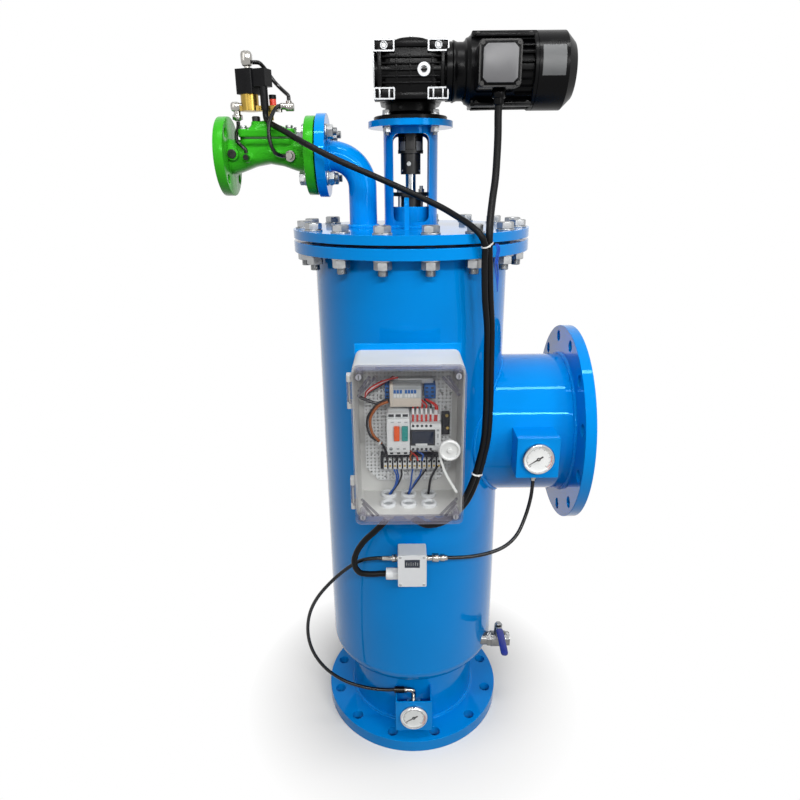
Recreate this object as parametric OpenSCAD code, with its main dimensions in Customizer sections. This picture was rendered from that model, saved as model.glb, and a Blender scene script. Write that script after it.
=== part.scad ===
// Automatic self cleaning filter: a flanged vessel with a screen inside, a geared motor
// on a lantern that turns the suction scanner, a hydraulic flush valve with its pilot,
// and a control box, pressure switch and gauges on the front. Millimetres.
// The origin is the middle of the inlet flange's face, on the floor. +Z is up the
// vessel, +X points to the outlet and -Y to the person who stands at the control box.

/* [Vessel] */
// Outside diameter of the vessel
vessel_od = 420; // [410:1:422]
// Wall of the vessel and of its bottom head
vessel_wall = 10; // [6:1:14]
// Outside diameter of the inlet and outlet necks
pipe_od = 324; // [300:1:330]
// Wall of the two necks
pipe_wall = 8; // [5:1:12]
// Length of the inlet neck between its flange and the bottom head
inlet_neck_len = 148; // [140:1:180]
// Straight length of the shell between the bottom head and the body flange
shell_len = 984; // [960:1:1010]
// Leg of the fillet welds
weld = 6; // [3:1:8]

/* [Process flanges] */
// Outside diameter of the inlet and outlet flanges
flange_od = 460; // [450:1:480]
// Thickness of the inlet flange
flange_t = 32; // [24:1:40]
// Thickness of the outlet flange
outlet_flange_t = 24; // [20:1:32]
// Bolt circle of the inlet and outlet flanges
flange_pcd = 410; // [400:1:416]
// Bolt holes in each of them
flange_holes = 12; // [8:4:16]
// Diameter of those holes
flange_hole_d = 26; // [20:1:30]
// Height of the outlet axis
outlet_z = 800; // [780:1:820]
// Distance from the vessel axis to the outlet flange's face
outlet_reach = 380; // [375:1:430]

/* [Cover joint] */
// Outside diameter of the cover and of the body flange
cover_od = 508; // [500:1:530]
// Thickness of the body flange
body_flange_t = 22; // [18:1:26]
// Thickness of the cover gasket
gasket_t = 6; // [3:1:8]
// Thickness of the cover
cover_t = 18; // [16:1:24]
// Bolt circle of the cover
cover_pcd = 460; // [458:1:466]
// Number of cover bolts
cover_bolt_count = 16; // [8:4:20]
// Thread diameter of the cover bolts
cover_bolt_d = 20; // [16:1:20]
// Turn of the cover's bolt circle
cover_turn = -3; // [-4:1:2]
// Thickness of the lifting lug on the cover
lug_t = 10; // [8:1:14]
// Height of the lifting lug
lug_h = 62; // [50:1:64]

/* [Stuffing box] */
// Diameter of the main shaft
shaft_d = 22; // [18:1:24]
// Outside diameter of the stuffing box
box_ring_d = 77; // [70:1:84]
// Height of the stuffing box
box_ring_h = 42; // [36:1:48]
// Bore of the stuffing box, which the packing fills
packing_d = 44; // [40:1:46]
// Height of the packing rings together
packing_h = 27; // [20:1:30]
// Clear height between the stuffing box and the follower's flange
follower_gap = 21; // [16:1:24]
// Thickness of the follower's flange
follower_t = 8; // [6:1:10]

/* [Lantern] */
// Outside diameter of the lantern tube
lantern_od = 114; // [110:1:116]
// Wall of the lantern tube
lantern_wall = 6; // [4:1:8]
// Height of the lantern tube
lantern_h = 197; // [194:1:204]
// Width of its two windows
window_w = 74; // [60:1:80]
// Outside diameter of the lantern's top plate
top_plate_od = 176; // [170:1:190]
// Thickness of the top plate
top_plate_t = 12; // [10:1:16]
// Bolt circle of the top plate and the gearbox flange
top_plate_pcd = 136; // [134:1:140]

/* [Coupling] */
// Diameter of the coupling hubs
hub_d = 42; // [38:1:46]
// Diameter over the coupling jaws
jaw_d = 53; // [50:1:58]
// Height of the coupling's lower hub
hub_h = 41; // [36:1:44]
// Height of the jaws
jaw_h = 25; // [20:1:28]
// Thickness of the disc that carries each hub's jaws
jaw_disc_t = 7; // [5:1:8]

/* [Gearbox] */
// Width of the gearbox between the outer faces of its pads
gear_w = 144; // [140:1:150]
// Height of the gearbox over its pads
gear_h = 104; // [100:1:110]
// Distance between the worm axis and the output axis
centre_distance = 63; // [63:1:65]
// Distance from the worm axis to the front face
gear_front = 39; // [38:1:44]
// Diameter of the gearbox's output flange
gear_flange_d = 152; // [150:1:160]
// Thickness of the output flange
gear_flange_t = 9; // [8:1:12]
// Height of the worm axis above the output flange
gear_axis_h = 73; // [70:1:80]
// Diameter of the output shaft
output_d = 25; // [22:1:28]

/* [Motor] */
// Diameter of the motor's flange neck
motor_neck_d = 106; // [100:1:110]
// Length of the motor's flange neck
motor_neck_len = 30; // [26:1:36]
// Diameter of the motor frame under its fins
motor_frame_d = 122; // [118:1:124]
// Length of the motor frame
motor_frame_len = 126; // [122:1:150]
// Number of fins round the frame
motor_fins = 28; // [20:2:32]
// Diameter of the fan cowl
cowl_d = 138; // [136:1:144]
// Length of the fan cowl
cowl_len = 74; // [70:1:90]
// Wall of the fan cowl
cowl_wall = 3; // [2:0.5:4]
// Width and height of the terminal box
terminal_w = 74; // [70:1:80]
// Distance from the motor axis to the front of the terminal box
terminal_reach = 127; // [120:1:132]

/* [Flush line] */
// Outside diameter of the flush pipe
flush_d = 60; // [57:1:62]
// Wall of the flush pipe
flush_wall = 4; // [3:0.5:5]
// Distance from the vessel axis to the flush pipe's riser
flush_x = 103; // [100:1:108]
// Height of the flush axis above the cover
flush_h = 145; // [142:1:150]
// Radius of the flush elbow
elbow_r = 64; // [60:1:70]
// Outside diameter of the flush flange
flush_flange_od = 165; // [160:1:170]
// Thickness of the flush flange
flush_flange_t = 20; // [16:1:22]
// Bolt circle of the flush flange
flush_pcd = 125; // [122:1:128]
// Diameter of the holes on that circle
flush_hole_d = 18; // [18:1:19]
// Diameter of the holes of the bolted joint between the flush flange and the valve
joint_hole_d = 17; // [17:0.1:17.5]
// Thickness of the flush gasket
flush_gasket_t = 3; // [2:0.5:4]

/* [Flush valve] */
// Length of the valve between its flange faces
valve_len = 200; // [198:1:210]
// Outside diameter of the valve's flanges
valve_flange_od = 156; // [154:1:162]
// Thickness of the valve's flanges
valve_flange_t = 20; // [16:1:22]
// Bore of the valve
valve_bore = 50; // [46:1:52]
// Length of the bonnet along the valve
bonnet_len = 116; // [110:1:120]
// Width of the bonnet across the valve
bonnet_w = 68; // [66:1:70]
// Height of the bonnet joint above the valve's axis
bonnet_z = 33; // [31:1:35]
// Height of the bonnet
bonnet_h = 34; // [30:1:36]
// Thickness of the rubber diaphragm
diaphragm_t = 3; // [2:0.5:4]

/* [Pilot] */
// Height of the pilot manifold above the valve's axis
pilot_z = 87; // [86:1:92]
// Diameter of the brass pilot body
pilot_body_d = 36; // [32:1:38]
// Height of the brass pilot body
pilot_body_h = 31; // [28:1:34]
// Width and depth of the coil
coil_w = 38; // [34:1:40]
// Height of the coil
coil_h = 46; // [42:1:50]
// Diameter of the pilot tubes
tube_d = 8; // [6:1:8]

/* [Control box] */
// Width of the control box
box_w = 200; // [196:1:204]
// Height of the control box
box_h = 300; // [296:1:310]
// Depth of the box without its lid
box_depth = 102; // [100:1:112]
// Depth of the clear lid
lid_depth = 30; // [24:1:34]
// Wall of the box and of its lid
box_wall = 4; // [3:0.5:5]
// Height of the bottom of the box
box_z = 749; // [740:1:760]
// Sideways place of the middle of the box
box_x = -11; // [-16:1:-6]
// Distance from the vessel to the back of the bracket plate
box_standoff = 48; // [44:1:54]
// Thickness of the bracket plate
bracket_t = 5; // [4:1:6]
// Travel of the two push buttons
button_travel = 3; // [2:0.5:4]

/* [Pressure switch] */
// Width of the pressure switch
switch_w = 61; // [58:1:66]
// Height of the pressure switch
switch_h = 78; // [76:1:84]
// Depth of the pressure switch
switch_depth = 45; // [42:1:50]
// Height of the bottom of the pressure switch
switch_z = 531; // [525:1:536]
// Distance from the vessel to the back of the switch
switch_standoff = 30; // [26:1:34]

/* [Gauges] */
// Width and height of the gauge brackets
gauge_plate = 90; // [86:1:94]
// Distance from a neck to the front of its gauge bracket
gauge_standoff = 58; // [56:1:64]
// Diameter of the gauge cases
gauge_d = 63; // [60:1:64]
// Diameter of the gauge bezels
bezel_d = 69; // [67:1:72]
// Height of the inlet gauge
inlet_gauge_z = 103; // [100:1:106]
// Distance of the outlet gauge from the vessel axis
outlet_gauge_x = 262; // [260:1:270]

/* [Drain valve] */
// Distance of the drain axis in front of the vessel axis
drain_y = 105; // [100:1:108]
// Diameter of the drain valve's body
drain_d = 38; // [36:1:40]
// Length of the drain valve
drain_len = 57; // [54:1:64]
// Bore of the drain valve
drain_bore = 20; // [16:1:21]
// Length of the drain lever from its pivot
lever_len = 104; // [90:1:110]

/* [Inside the vessel] */
// Outside diameter of the screen
screen_od = 330; // [320:1:340]
// Wall of the screen
screen_wall = 5; // [3:1:6]
// Diameter of the scanner's suction tube
scanner_d = 76; // [70:1:80]
// Number of suction nozzles
nozzle_count = 4; // [3:1:5]
// Gap between the nozzles and the screen
nozzle_gap = 3; // [2:0.5:4]
// Height of the flush chamber under the cover
flush_chamber_h = 100; // [90:1:110]

/* [Fits] */
// Radial clearance of a running shaft
running = 0.05; // [0.02:0.01:0.1]
// Clearance between other moving faces
clear = 0.4; // [0.3:0.05:0.5]
// Gap between the end of a cable, hose or tube and its gland or nut
cord_gap = 0.7; // [0.5:0.1:1]

/* [Cables and hoses] */
// Diameter of the motor cable
motor_cable_d = 14; // [10:0.5:14]
// Diameter of the solenoid cable
cable_d = 12; // [9:0.5:12]
// Diameter of the pressure switch cable
switch_cable_d = 13; // [9:0.5:13]
// Diameter of the gauge hoses
hose_d = 8; // [6:0.5:9]

/* [Hidden] */
$fn = 72;
tiny = 0.01;

vessel_r = vessel_od / 2;
bore_r = vessel_r - vessel_wall;
pipe_r = pipe_od / 2;
pipe_bore_r = pipe_r - pipe_wall;
head_knuckle = vessel_r - pipe_r;
neck_top = flange_t + inlet_neck_len;
head_top = neck_top + head_knuckle;
body_flange_z = head_top + shell_len;
gasket_z = body_flange_z + body_flange_t;
cover_z = gasket_z + gasket_t;
cover_top = cover_z + cover_t;
outlet_back = outlet_reach - outlet_flange_t;

// Fastener proportions: across flats, head, nut and washer as shares of the thread
function across_flats(d) = 1.5 * d;
function hex_d(af) = af / cos(30);
washer_t = 3;
cover_hole_d = cover_bolt_d + 2;
cover_lug_x = -10;
cover_lug_y = -90;

lantern_top = cover_top + lantern_h;
top_plate_top = lantern_top + top_plate_t;
gear_flange_top = top_plate_top + gear_flange_t;
worm_z = gear_flange_top + gear_axis_h;
worm_y = -centre_distance;
gear_face_y = worm_y - gear_front;
gear_back_y = 66;
pad_depth = 6;
top_bolt_d = 10;
oil_plug_x = 24;
oil_plug_d = 22;

packing_top = cover_top + packing_h;
follower_z = cover_top + box_ring_h + follower_gap;
follower_stud_r = (box_ring_d + packing_d) / 4;
follower_stud_d = 8;
follower_turn = 40;
coupling_z = lantern_top - hub_h - 2 * jaw_disc_t - jaw_h - 10;
jaw_z = coupling_z + hub_h + jaw_disc_t;
coupling_top = jaw_z + jaw_h + jaw_disc_t;

motor_x = gear_w / 2 + 7;
frame_x = motor_x + motor_neck_len;
cowl_x = frame_x + motor_frame_len;
motor_shaft_r = 9.5;
rotor_r = 44;
worm_r = 16.5;
wheel_r = centre_distance - worm_r - 0.5;

flush_r = flush_d / 2;
flush_bore_r = flush_r - flush_wall;
flush_z = cover_top + flush_h;
flush_stub = 6;
flush_face_x = -(flush_x + elbow_r + flush_stub + flush_flange_t);
valve_x1 = flush_face_x - flush_gasket_t;
valve_x0 = valve_x1 - valve_len;
valve_cx = (valve_x0 + valve_x1) / 2;
bonnet_joint_z = flush_z + bonnet_z;
bonnet_base_z = bonnet_joint_z + diaphragm_t;
bonnet_top_z = bonnet_base_z + bonnet_h;
pilot_x = valve_cx - 34;
manifold_z = flush_z + pilot_z;
manifold_h = 10;
coil_z = manifold_z + pilot_body_h;
coil_top = coil_z + coil_h;
coil_turn = -20;
connector_len = 28;
connector_z = coil_top - 33;
spigot_h = 44;
spigot_place = [coil_w / 2 + 19, -6];
spigot_end = [pilot_x + spigot_place[0] * cos(coil_turn) - spigot_place[1] * sin(coil_turn),
              spigot_place[0] * sin(coil_turn) + spigot_place[1] * cos(coil_turn), connector_z - spigot_h];
tee_x = pilot_x + 54;
tee_z = manifold_z + 7;
left_nut = [pilot_x - 28, 0, manifold_z - 18];
left_port = [valve_x0 + 59, -36, flush_z - 3];
right_port = [valve_x1 - 52, -36, flush_z - 1];
port_size = 14;

box_back_y = -(vessel_r + box_standoff + bracket_t);
box_rim_y = box_back_y - box_depth;
lid_face_y = box_rim_y - lid_depth;
box_mid_z = box_z + box_h / 2;
box_left = box_x - box_w / 2;
hinge_x = box_left - 5;
hinge_r = 4.5;
hinge_pin_r = 2;
hinge_len = 62;
backplate_y = box_back_y - box_wall - 6;
backplate_t = 2;
device_y = backplate_y - backplate_t;
starter_face_y = device_y - 70;
gland_rows = [-24, -64];
gland_columns = [-40, 0, 40];
gland_hole_d = 20;
gland_drop = 25;
terminal_mid_x = frame_x + 9 + terminal_w / 2;
terminal_z = worm_z - 5;
motor_gland = [terminal_mid_x + 3, worm_y - 97, terminal_z - terminal_w / 2 - 28];
motor_box_gland = [box_x, box_back_y - 24, box_z - gland_drop];
solenoid_box_gland = [box_x + 40, box_back_y - 24, box_z - gland_drop];
switch_box_gland = [box_x - 40, box_back_y - 24, box_z - gland_drop];

switch_back_y = -(vessel_r + switch_standoff);
switch_x = -4;
switch_port_z = switch_z + 57;
switch_port_y = switch_back_y - switch_depth / 2;
switch_gland_z = switch_z + 18;
switch_gland_end = [switch_x - switch_w / 2 - 25.5, switch_port_y, switch_gland_z];
switch_left_port = [switch_x - switch_w / 2 - 33.5, switch_port_y, switch_port_z];
switch_right_port = [switch_x + switch_w / 2 + 45.5, switch_port_y, switch_port_z];

gauge_depth = 28;
gauge_plate_t = 4;
inlet_gauge = [0, -(pipe_r + gauge_standoff), inlet_gauge_z];
outlet_gauge = [outlet_gauge_x, -(pipe_r + gauge_standoff), outlet_z];
gauge_line_y = -(pipe_r + gauge_standoff) + gauge_depth + 7;
inlet_line_end = [-48, gauge_line_y, inlet_gauge_z + gauge_plate / 2 + 5];
outlet_line_end = [outlet_gauge_x, gauge_line_y, outlet_z - gauge_plate / 2 - 22];

drain_z = head_top + 12;
drain_x = sqrt(vessel_r * vessel_r - drain_y * drain_y) + 8;
drain_mid_x = drain_x + drain_len / 2;
ball_r = 14;
stem_r = 5;
lever_z = drain_z + 40;

screen_r = screen_od / 2;
seat_t = 12;
seat_z = head_top + 22;
screen_z = seat_z + seat_t;
partition_t = 12;
partition_z = cover_z - flush_chamber_h;
scanner_r = scanner_d / 2;
scanner_z = screen_z + 10;
scanner_top = partition_z + partition_t + 26;
pivot_r = 12;

blue = "#0078C8";
green = "#2E9A1E";
black = "#1A1A1A";
zinc = "#B5B5B5";
grey = "#CFD3D6";
brass = "#B79A45";

// Routes of the cables and hoses, chosen by hand, each tied to its two ends
end_x = [cord_gap, 0, 0];
end_z = [0, 0, cord_gap];
motor_cable_route = fit_route([
    [158, -160, 1478], [158, -160, 1462], [159, -161, 1430], [158.5, -163, 1395], [156.5, -168, 1355],
    [151, -181, 1320], [145, -204, 1288], [141.5, -223, 1262], [141.5, -224, 1236], [143.5, -220, 1205],
    [148.5, -213.5, 1140], [154, -209, 1080], [155.5, -208, 1030], [157, -208, 968], [158, -208, 907],
    [156, -209, 846], [148.5, -210.5, 801], [138, -213.5, 758], [119, -219.5, 709], [93, -232.5, 682],
    [60, -250, 667], [28, -268, 672], [8, -279, 688], [-6, -285.5, 702], [-11, -287, 713],
    [-11, -287, 724]],
    motor_gland - end_z, motor_box_gland - end_z);
solenoid_cable_route = fit_route([
    [-296, -18.6, 1490], [-296, -18.6, 1480], [-293, -22, 1471], [-279, -40, 1461], [-246, -76, 1444],
    [-205, -108, 1421], [-142, -122, 1390], [-76, -128, 1362], [-5, -138, 1331], [52, -158, 1305],
    [84, -190, 1287], [103, -222, 1275], [122, -245, 1258], [132, -239, 1236], [133, -233, 1205],
    [137, -226, 1140], [144, -220, 1080], [145.5, -219, 1030], [147, -219, 968], [148, -219, 907],
    [146, -220, 846], [138, -222, 801], [127, -225, 758], [107, -232, 712], [82, -250, 688], [56, -271, 684],
    [40, -282.5, 694], [31.5, -286.5, 705], [29, -287, 714], [29, -287, 724]],
    spigot_end - end_z, solenoid_box_gland - end_z);
switch_cable_route = fit_route([
    [-51, -287, 724], [-51, -287, 713], [-54, -287.5, 702], [-62, -288, 690], [-82, -287, 668],
    [-104, -282, 643], [-121, -279, 614], [-127, -277, 585], [-117, -273, 560], [-94, -265, 550],
    [-74, -262.5, 549], [-60, -262.5, 549]], switch_box_gland - end_z, switch_gland_end - end_x);
outlet_hose_route = fit_route([
    [262, -185, 733], [262, -185, 720], [258, -192, 690], [246, -206, 654], [227, -224, 621],
    [200, -240, 602], [164, -253, 593], [126, -260, 589], [92, -262.5, 588], [72, -262.5, 588]],
    outlet_line_end - end_z, switch_right_port + end_x);
inlet_hose_route = fit_route([
    [-68, -262.5, 588], [-84, -262.5, 588], [-116, -257, 578], [-150, -252, 552], [-185, -245, 514],
    [-217, -232, 466], [-239, -218, 414], [-249, -208, 360], [-247, -202, 310], [-234, -195, 262],
    [-207, -189, 216], [-165, -186, 180], [-115, -185, 160], [-72, -185, 153], [-48, -185, 153]],
    switch_left_port - end_x, inlet_line_end - end_x);
tube_left_route = fit_route([
    [-358, 0, 1472], [-358, 0, 1465], [-358.2, -8, 1456], [-358.2, -22, 1446], [-356, -35, 1434],
    [-349, -44, 1426], [-341, -45, 1418], [-337, -43, 1413], [-337, -43, 1407]],
    left_nut - end_z, left_port + [0, -7, port_size / 2] + end_z);
tube_loop_route = fit_route([
    [-269, -9, 1497], [-269, -20, 1497], [-275, -42, 1485], [-283, -56, 1461], [-283, -63, 1433],
    [-276, -56, 1409], [-265, -46, 1403], [-261, -43, 1402], [-255, -43, 1402]],
    [tee_x + 7, -9 - cord_gap, tee_z], right_port + [-port_size / 2, -7, 0] - end_x);
tube_top_route = fit_route([
    [-319, 0, 1580], [-311, 0, 1580], [-304, 3, 1578], [-295, 14, 1567], [-282, 24, 1548],
    [-266, 18, 1532], [-252, 4, 1520], [-250, 0, 1515], [-250, 0, 1509]],
    [pilot_x + 11, 0, coil_top + 13] + end_x, [tee_x + 26, 0, tee_z + 12] + end_z);

// Shapes that several pieces share
function rounded_points(w, h, r, n = 5) = [
    for (q = [0:3]) for (i = [0:n])
        let (a = 90 * (q + i / n), sx = (q == 0 || q == 3) ? 1 : -1, sy = q < 2 ? 1 : -1)
        [sx * (w / 2 - r) + r * cos(a), sy * (h / 2 - r) + r * sin(a)]];
function unit(v) = v / norm(v);
function spline_at(p, i, t) =
    let (a = i > 0 ? p[i - 1] : 2 * p[0] - p[1], b = p[i], c = p[i + 1],
         d = i + 2 < len(p) ? p[i + 2] : 2 * c - b)
    0.5 * (2 * b + (c - a) * t + (2 * a - 5 * b + 4 * c - d) * t * t
           + (3 * b - a - 3 * c + d) * t * t * t);
function fit_route(p, from, to) = let (last = len(p) - 1) [
    for (i = [0:last]) let (s = max(0, min(1, (i - 1) / (last - 2))))
        p[i] + (1 - s) * (from - p[0]) + s * (to - p[last])];
function spline(p, n) = [
    for (i = [0:len(p) - 2]) for (j = [0:n - 1]) spline_at(p, i, j / n), p[len(p) - 1]];

module rounded(w, h, r) {
    polygon(rounded_points(w, h, r));
}
module on_x(x) {
    translate([x, 0, 0]) rotate([0, 90, 0]) children();
}
// A plate that stands across Y, with its back at y and its thickness towards the front
module upright(x, y, z, t) {
    translate([x, y, z]) rotate([90, 0, 0]) linear_extrude(t) children();
}
module ring(od, id, h) {
    difference() {
        cylinder(d = od, h = h);
        translate([0, 0, -1]) cylinder(d = id, h = h + 2);
    }
}
module hex(af, h) {
    cylinder(d = hex_d(af), h = h, $fn = 6);
}
module on_circle(count, pcd, start) {
    for (i = [0:count - 1])
        rotate([0, 0, start + i * 360 / count]) translate([pcd / 2, 0, 0]) children();
}
// A bolt with washers and a nut that clamps from z = 0 up to the grip
module bolt_set(d, grip, tip) {
    washer_d = 1.85 * d;
    nut_h = 0.8 * d;
    translate([0, 0, grip]) cylinder(d = washer_d, h = washer_t);
    translate([0, 0, grip + washer_t]) hex(across_flats(d), 0.65 * d);
    translate([0, 0, -washer_t]) cylinder(d = washer_d, h = washer_t);
    translate([0, 0, -washer_t - nut_h]) hex(across_flats(d), nut_h);
    translate([0, 0, -washer_t - nut_h - tip]) cylinder(d = d, h = grip + washer_t + nut_h + tip);
}
// A flexible tube of 8 sides along a route
module tube_along(route, d, n = 2) {
    sides = 8;
    p = spline(route, n);
    last = len(p) - 1;
    points = [for (i = [0:last])
        let (t = unit(p[min(i + 1, last)] - p[max(i - 1, 0)]), u = unit(cross(t, [0, 1, 0.02])),
             v = cross(u, t))
        for (j = [0:sides - 1]) p[i] + d / 2 * (cos(j * 360 / sides) * u + sin(j * 360 / sides) * v)];
    walls = [for (i = [0:last - 1]) for (j = [0:sides - 1])
        let (a = i * sides + j, b = i * sides + (j + 1) % sides)
        [a, b, b + sides, a + sides]];
    first_cap = [for (j = [0:sides - 1]) sides - 1 - j];
    last_cap = [for (j = [0:sides - 1]) last * sides + j];
    polyhedron(points, concat(walls, [first_cap], [last_cap]), convexity = 6);
}

// Vessel: flanges, necks, head and shell
module process_flange(start, t) {
    difference() {
        cylinder(d = flange_od, h = t);
        translate([0, 0, -1]) cylinder(r = pipe_bore_r, h = t + 2);
        on_circle(flange_holes, flange_pcd, start)
            translate([0, 0, -1]) cylinder(d = flange_hole_d, h = t + 2);
    }
}
module inlet_flange() {
    color(blue) process_flange(-90 + 180 / flange_holes, flange_t);
}
module inlet_neck() {
    color(blue) rotate_extrude() polygon([
        [pipe_bore_r, flange_t], [pipe_r + weld, flange_t], [pipe_r, flange_t + weld],
        [pipe_r, neck_top], [pipe_bore_r, neck_top]]);
}
module bottom_head() {
    color(blue) rotate_extrude() {
        translate([pipe_r, head_top]) intersection() {
            difference() {
                circle(r = head_knuckle);
                circle(r = head_knuckle - vessel_wall);
            }
            translate([0, -head_knuckle]) square(head_knuckle);
        }
        translate([pipe_bore_r, neck_top]) square([pipe_wall, vessel_wall]);
    }
}
module vessel_shell() {
    color(blue) difference() {
        translate([0, 0, head_top]) cylinder(r = vessel_r, h = shell_len);
        translate([0, 0, head_top - 1]) cylinder(r = bore_r, h = shell_len + 2);
        translate([0, 0, outlet_z]) on_x(0) cylinder(r = pipe_bore_r, h = vessel_od);
        translate([0, -drain_y, drain_z]) on_x(0) cylinder(d = drain_bore, h = vessel_od);
    }
}
module outlet_neck() {
    color(blue) translate([0, 0, outlet_z]) difference() {
        on_x(0) union() {
            cylinder(r = pipe_r, h = outlet_back);
            translate([0, 0, outlet_back - weld]) cylinder(r1 = pipe_r, r2 = pipe_r + weld, h = weld);
        }
        on_x(-1) cylinder(r = pipe_bore_r, h = outlet_back + 2);
        translate([0, 0, -pipe_od]) cylinder(r = vessel_r, h = 2 * pipe_od);
    }
}
module outlet_flange() {
    color(blue) translate([0, 0, outlet_z]) on_x(outlet_back)
        process_flange(180 / flange_holes, outlet_flange_t);
}

// Cover joint
module body_flange() {
    color(blue) translate([0, 0, body_flange_z]) difference() {
        ring(cover_od, 2 * bore_r, body_flange_t);
        cover_holes(body_flange_t);
    }
}
module cover_holes(h) {
    on_circle(cover_bolt_count, cover_pcd, cover_turn - 90 + 180 / cover_bolt_count)
        translate([0, 0, -1]) cylinder(d = cover_hole_d, h = h + 2);
}
module cover_plate() {
    color(blue) {
        translate([0, 0, cover_z]) difference() {
            cylinder(d = cover_od, h = cover_t);
            cover_holes(cover_t);
            translate([0, 0, -1]) cylinder(d = shaft_d + 2, h = cover_t + 2);
            translate([-flush_x, 0, -1]) cylinder(r = flush_bore_r, h = cover_t + 2);
        }
        lifting_lug();
    }
}
// Upright eye on the cover, seen edge on from the front
module lifting_lug() {
    lug_r = 16;
    eye_d = 18;
    eye_z = lug_h - lug_r;
    translate([cover_lug_x - lug_t / 2, cover_lug_y, cover_top]) rotate([90, 0, 90])
        linear_extrude(lug_t) difference() {
            union() {
                polygon([[-22, 0], [22, 0], [lug_r, eye_z], [-lug_r, eye_z]]);
                translate([0, eye_z]) circle(r = lug_r);
            }
            translate([0, eye_z]) circle(d = eye_d);
        }
}
module seals() {
    color(black) {
        translate([0, 0, gasket_z]) ring(cover_pcd - cover_hole_d - 6, 2 * bore_r, gasket_t);
        translate([0, 0, flush_z]) on_x(valve_x1)
            ring(flush_pcd - flush_hole_d - 2, 2 * flush_bore_r, flush_gasket_t);
    }
    color("dimgrey") translate([0, 0, cover_top])
        ring(packing_d, shaft_d + 2 * running, packing_h);
}
module cover_bolts() {
    color(zinc) translate([0, 0, body_flange_z])
        on_circle(cover_bolt_count, cover_pcd, cover_turn - 90 + 180 / cover_bolt_count)
            bolt_set(cover_bolt_d, cover_top - body_flange_z, 12);
}

// Stuffing box and lantern
module stuffing_box() {
    color(blue) translate([0, 0, cover_top]) ring(box_ring_d, packing_d, box_ring_h);
}
module gland_follower() {
    nut_h = 0.8 * follower_stud_d;
    color(zinc) {
        difference() {
            union() {
                translate([0, 0, packing_top])
                    cylinder(d = packing_d - clear, h = follower_z - packing_top);
                translate([0, 0, follower_z]) cylinder(d = box_ring_d - 3, h = follower_t);
            }
            translate([0, 0, packing_top - 1])
                cylinder(d = shaft_d + 2 * clear, h = follower_z + follower_t);
            on_circle(2, 2 * follower_stud_r, follower_turn)
                translate([0, 0, follower_z - 1]) cylinder(d = follower_stud_d + 1, h = follower_t + 2);
        }
        on_circle(2, 2 * follower_stud_r, follower_turn) {
            translate([0, 0, cover_top + box_ring_h])
                cylinder(d = follower_stud_d, h = follower_gap + follower_t + 2 * nut_h);
            translate([0, 0, follower_z + follower_t]) hex(across_flats(follower_stud_d), nut_h);
        }
    }
}
module lantern() {
    window_h = lantern_h - 25;
    color(blue) {
        translate([0, 0, cover_top]) difference() {
            ring(lantern_od, lantern_od - 2 * lantern_wall, lantern_h);
            translate([0, lantern_od, 12 + window_h / 2]) rotate([90, 0, 0])
                linear_extrude(2 * lantern_od) rounded(window_w, window_h, 12);
        }
        translate([0, 0, lantern_top]) difference() {
            ring(top_plate_od, jaw_d + 6, top_plate_t);
            top_plate_holes(top_plate_t);
        }
    }
}
module top_plate_holes(h) {
    on_circle(4, top_plate_pcd, 45) translate([0, 0, -1]) cylinder(d = top_bolt_d + 1, h = h + 2);
}
module fasteners() {
    color(zinc) {
        translate([0, 0, lantern_top]) on_circle(4, top_plate_pcd, 45)
            bolt_set(top_bolt_d, top_plate_t + gear_flange_t, 6);
        translate([0, 0, flush_z]) on_x(valve_x1 - valve_flange_t) on_circle(4, flush_pcd, 45)
            mirror([0, 0, 1]) translate([0, 0, -flush_joint_t()])
                bolt_set(joint_hole_d - 1, flush_joint_t(), 8);
        // Oil plug of the gearbox, with a hexagon socket
        translate([oil_plug_x, gear_face_y + pad_depth, worm_z]) rotate([90, 0, 0]) difference() {
            cylinder(d = oil_plug_d, h = pad_depth);
            translate([0, 0, 2]) hex(8, pad_depth);
        }
    }
}
function flush_joint_t() = valve_flange_t + flush_gasket_t + flush_flange_t;

// Coupling and main shaft
module coupling_jaws(start) {
    outer = jaw_d / 2 - 0.5;
    inner = jaw_d / 4 + 0.5;
    for (i = [0:2]) rotate([0, 0, start + 120 * i]) linear_extrude(jaw_h - clear) polygon(concat(
        [for (a = [-22:11:22]) outer * [cos(a), sin(a)]], [for (a = [22:-11:-22]) inner * [cos(a), sin(a)]]));
}
module coupling_hubs() {
    screw_z = coupling_z + hub_h / 2;
    color(black) {
        difference() {
            union() {
                translate([0, 0, coupling_z]) cylinder(d = hub_d, h = hub_h);
                translate([0, 0, jaw_z - jaw_disc_t]) cylinder(d = jaw_d, h = jaw_disc_t);
                translate([0, 0, jaw_z]) coupling_jaws(-30);
                // Clamping screw
                upright(-4, -hub_d / 2 + 4, screw_z, 5) circle(d = 10);
            }
            upright(-4, -hub_d / 2 + 1, screw_z, 5) circle(d = 5);
            translate([0, 0, coupling_z - 1]) cylinder(d = shaft_d + 2 * running, h = hub_h);
        }
        difference() {
            union() {
                translate([0, 0, jaw_z + jaw_h]) cylinder(d = jaw_d, h = jaw_disc_t);
                translate([0, 0, jaw_z + clear]) coupling_jaws(30);
            }
            translate([0, 0, jaw_z]) cylinder(d = output_d + 2 * running, h = jaw_h + jaw_disc_t + 1);
        }
    }
}
module coupling_spider() {
    arm_w = 3;
    color("#303030") translate([0, 0, jaw_z + clear]) linear_extrude(jaw_h - 2 * clear) {
        difference() {
            circle(d = jaw_d / 2 - 2 * clear);
            circle(d = output_d - 6);
        }
        for (i = [0:5]) rotate([0, 0, 60 * i])
            translate([jaw_d / 4 - 2, -arm_w / 2]) square([jaw_d / 4 + 1, arm_w]);
    }
}
module main_shaft() {
    color(zinc) translate([0, 0, scanner_top]) {
        cylinder(d = shaft_d, h = coupling_z + hub_h - 6 - scanner_top);
    }
}

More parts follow.
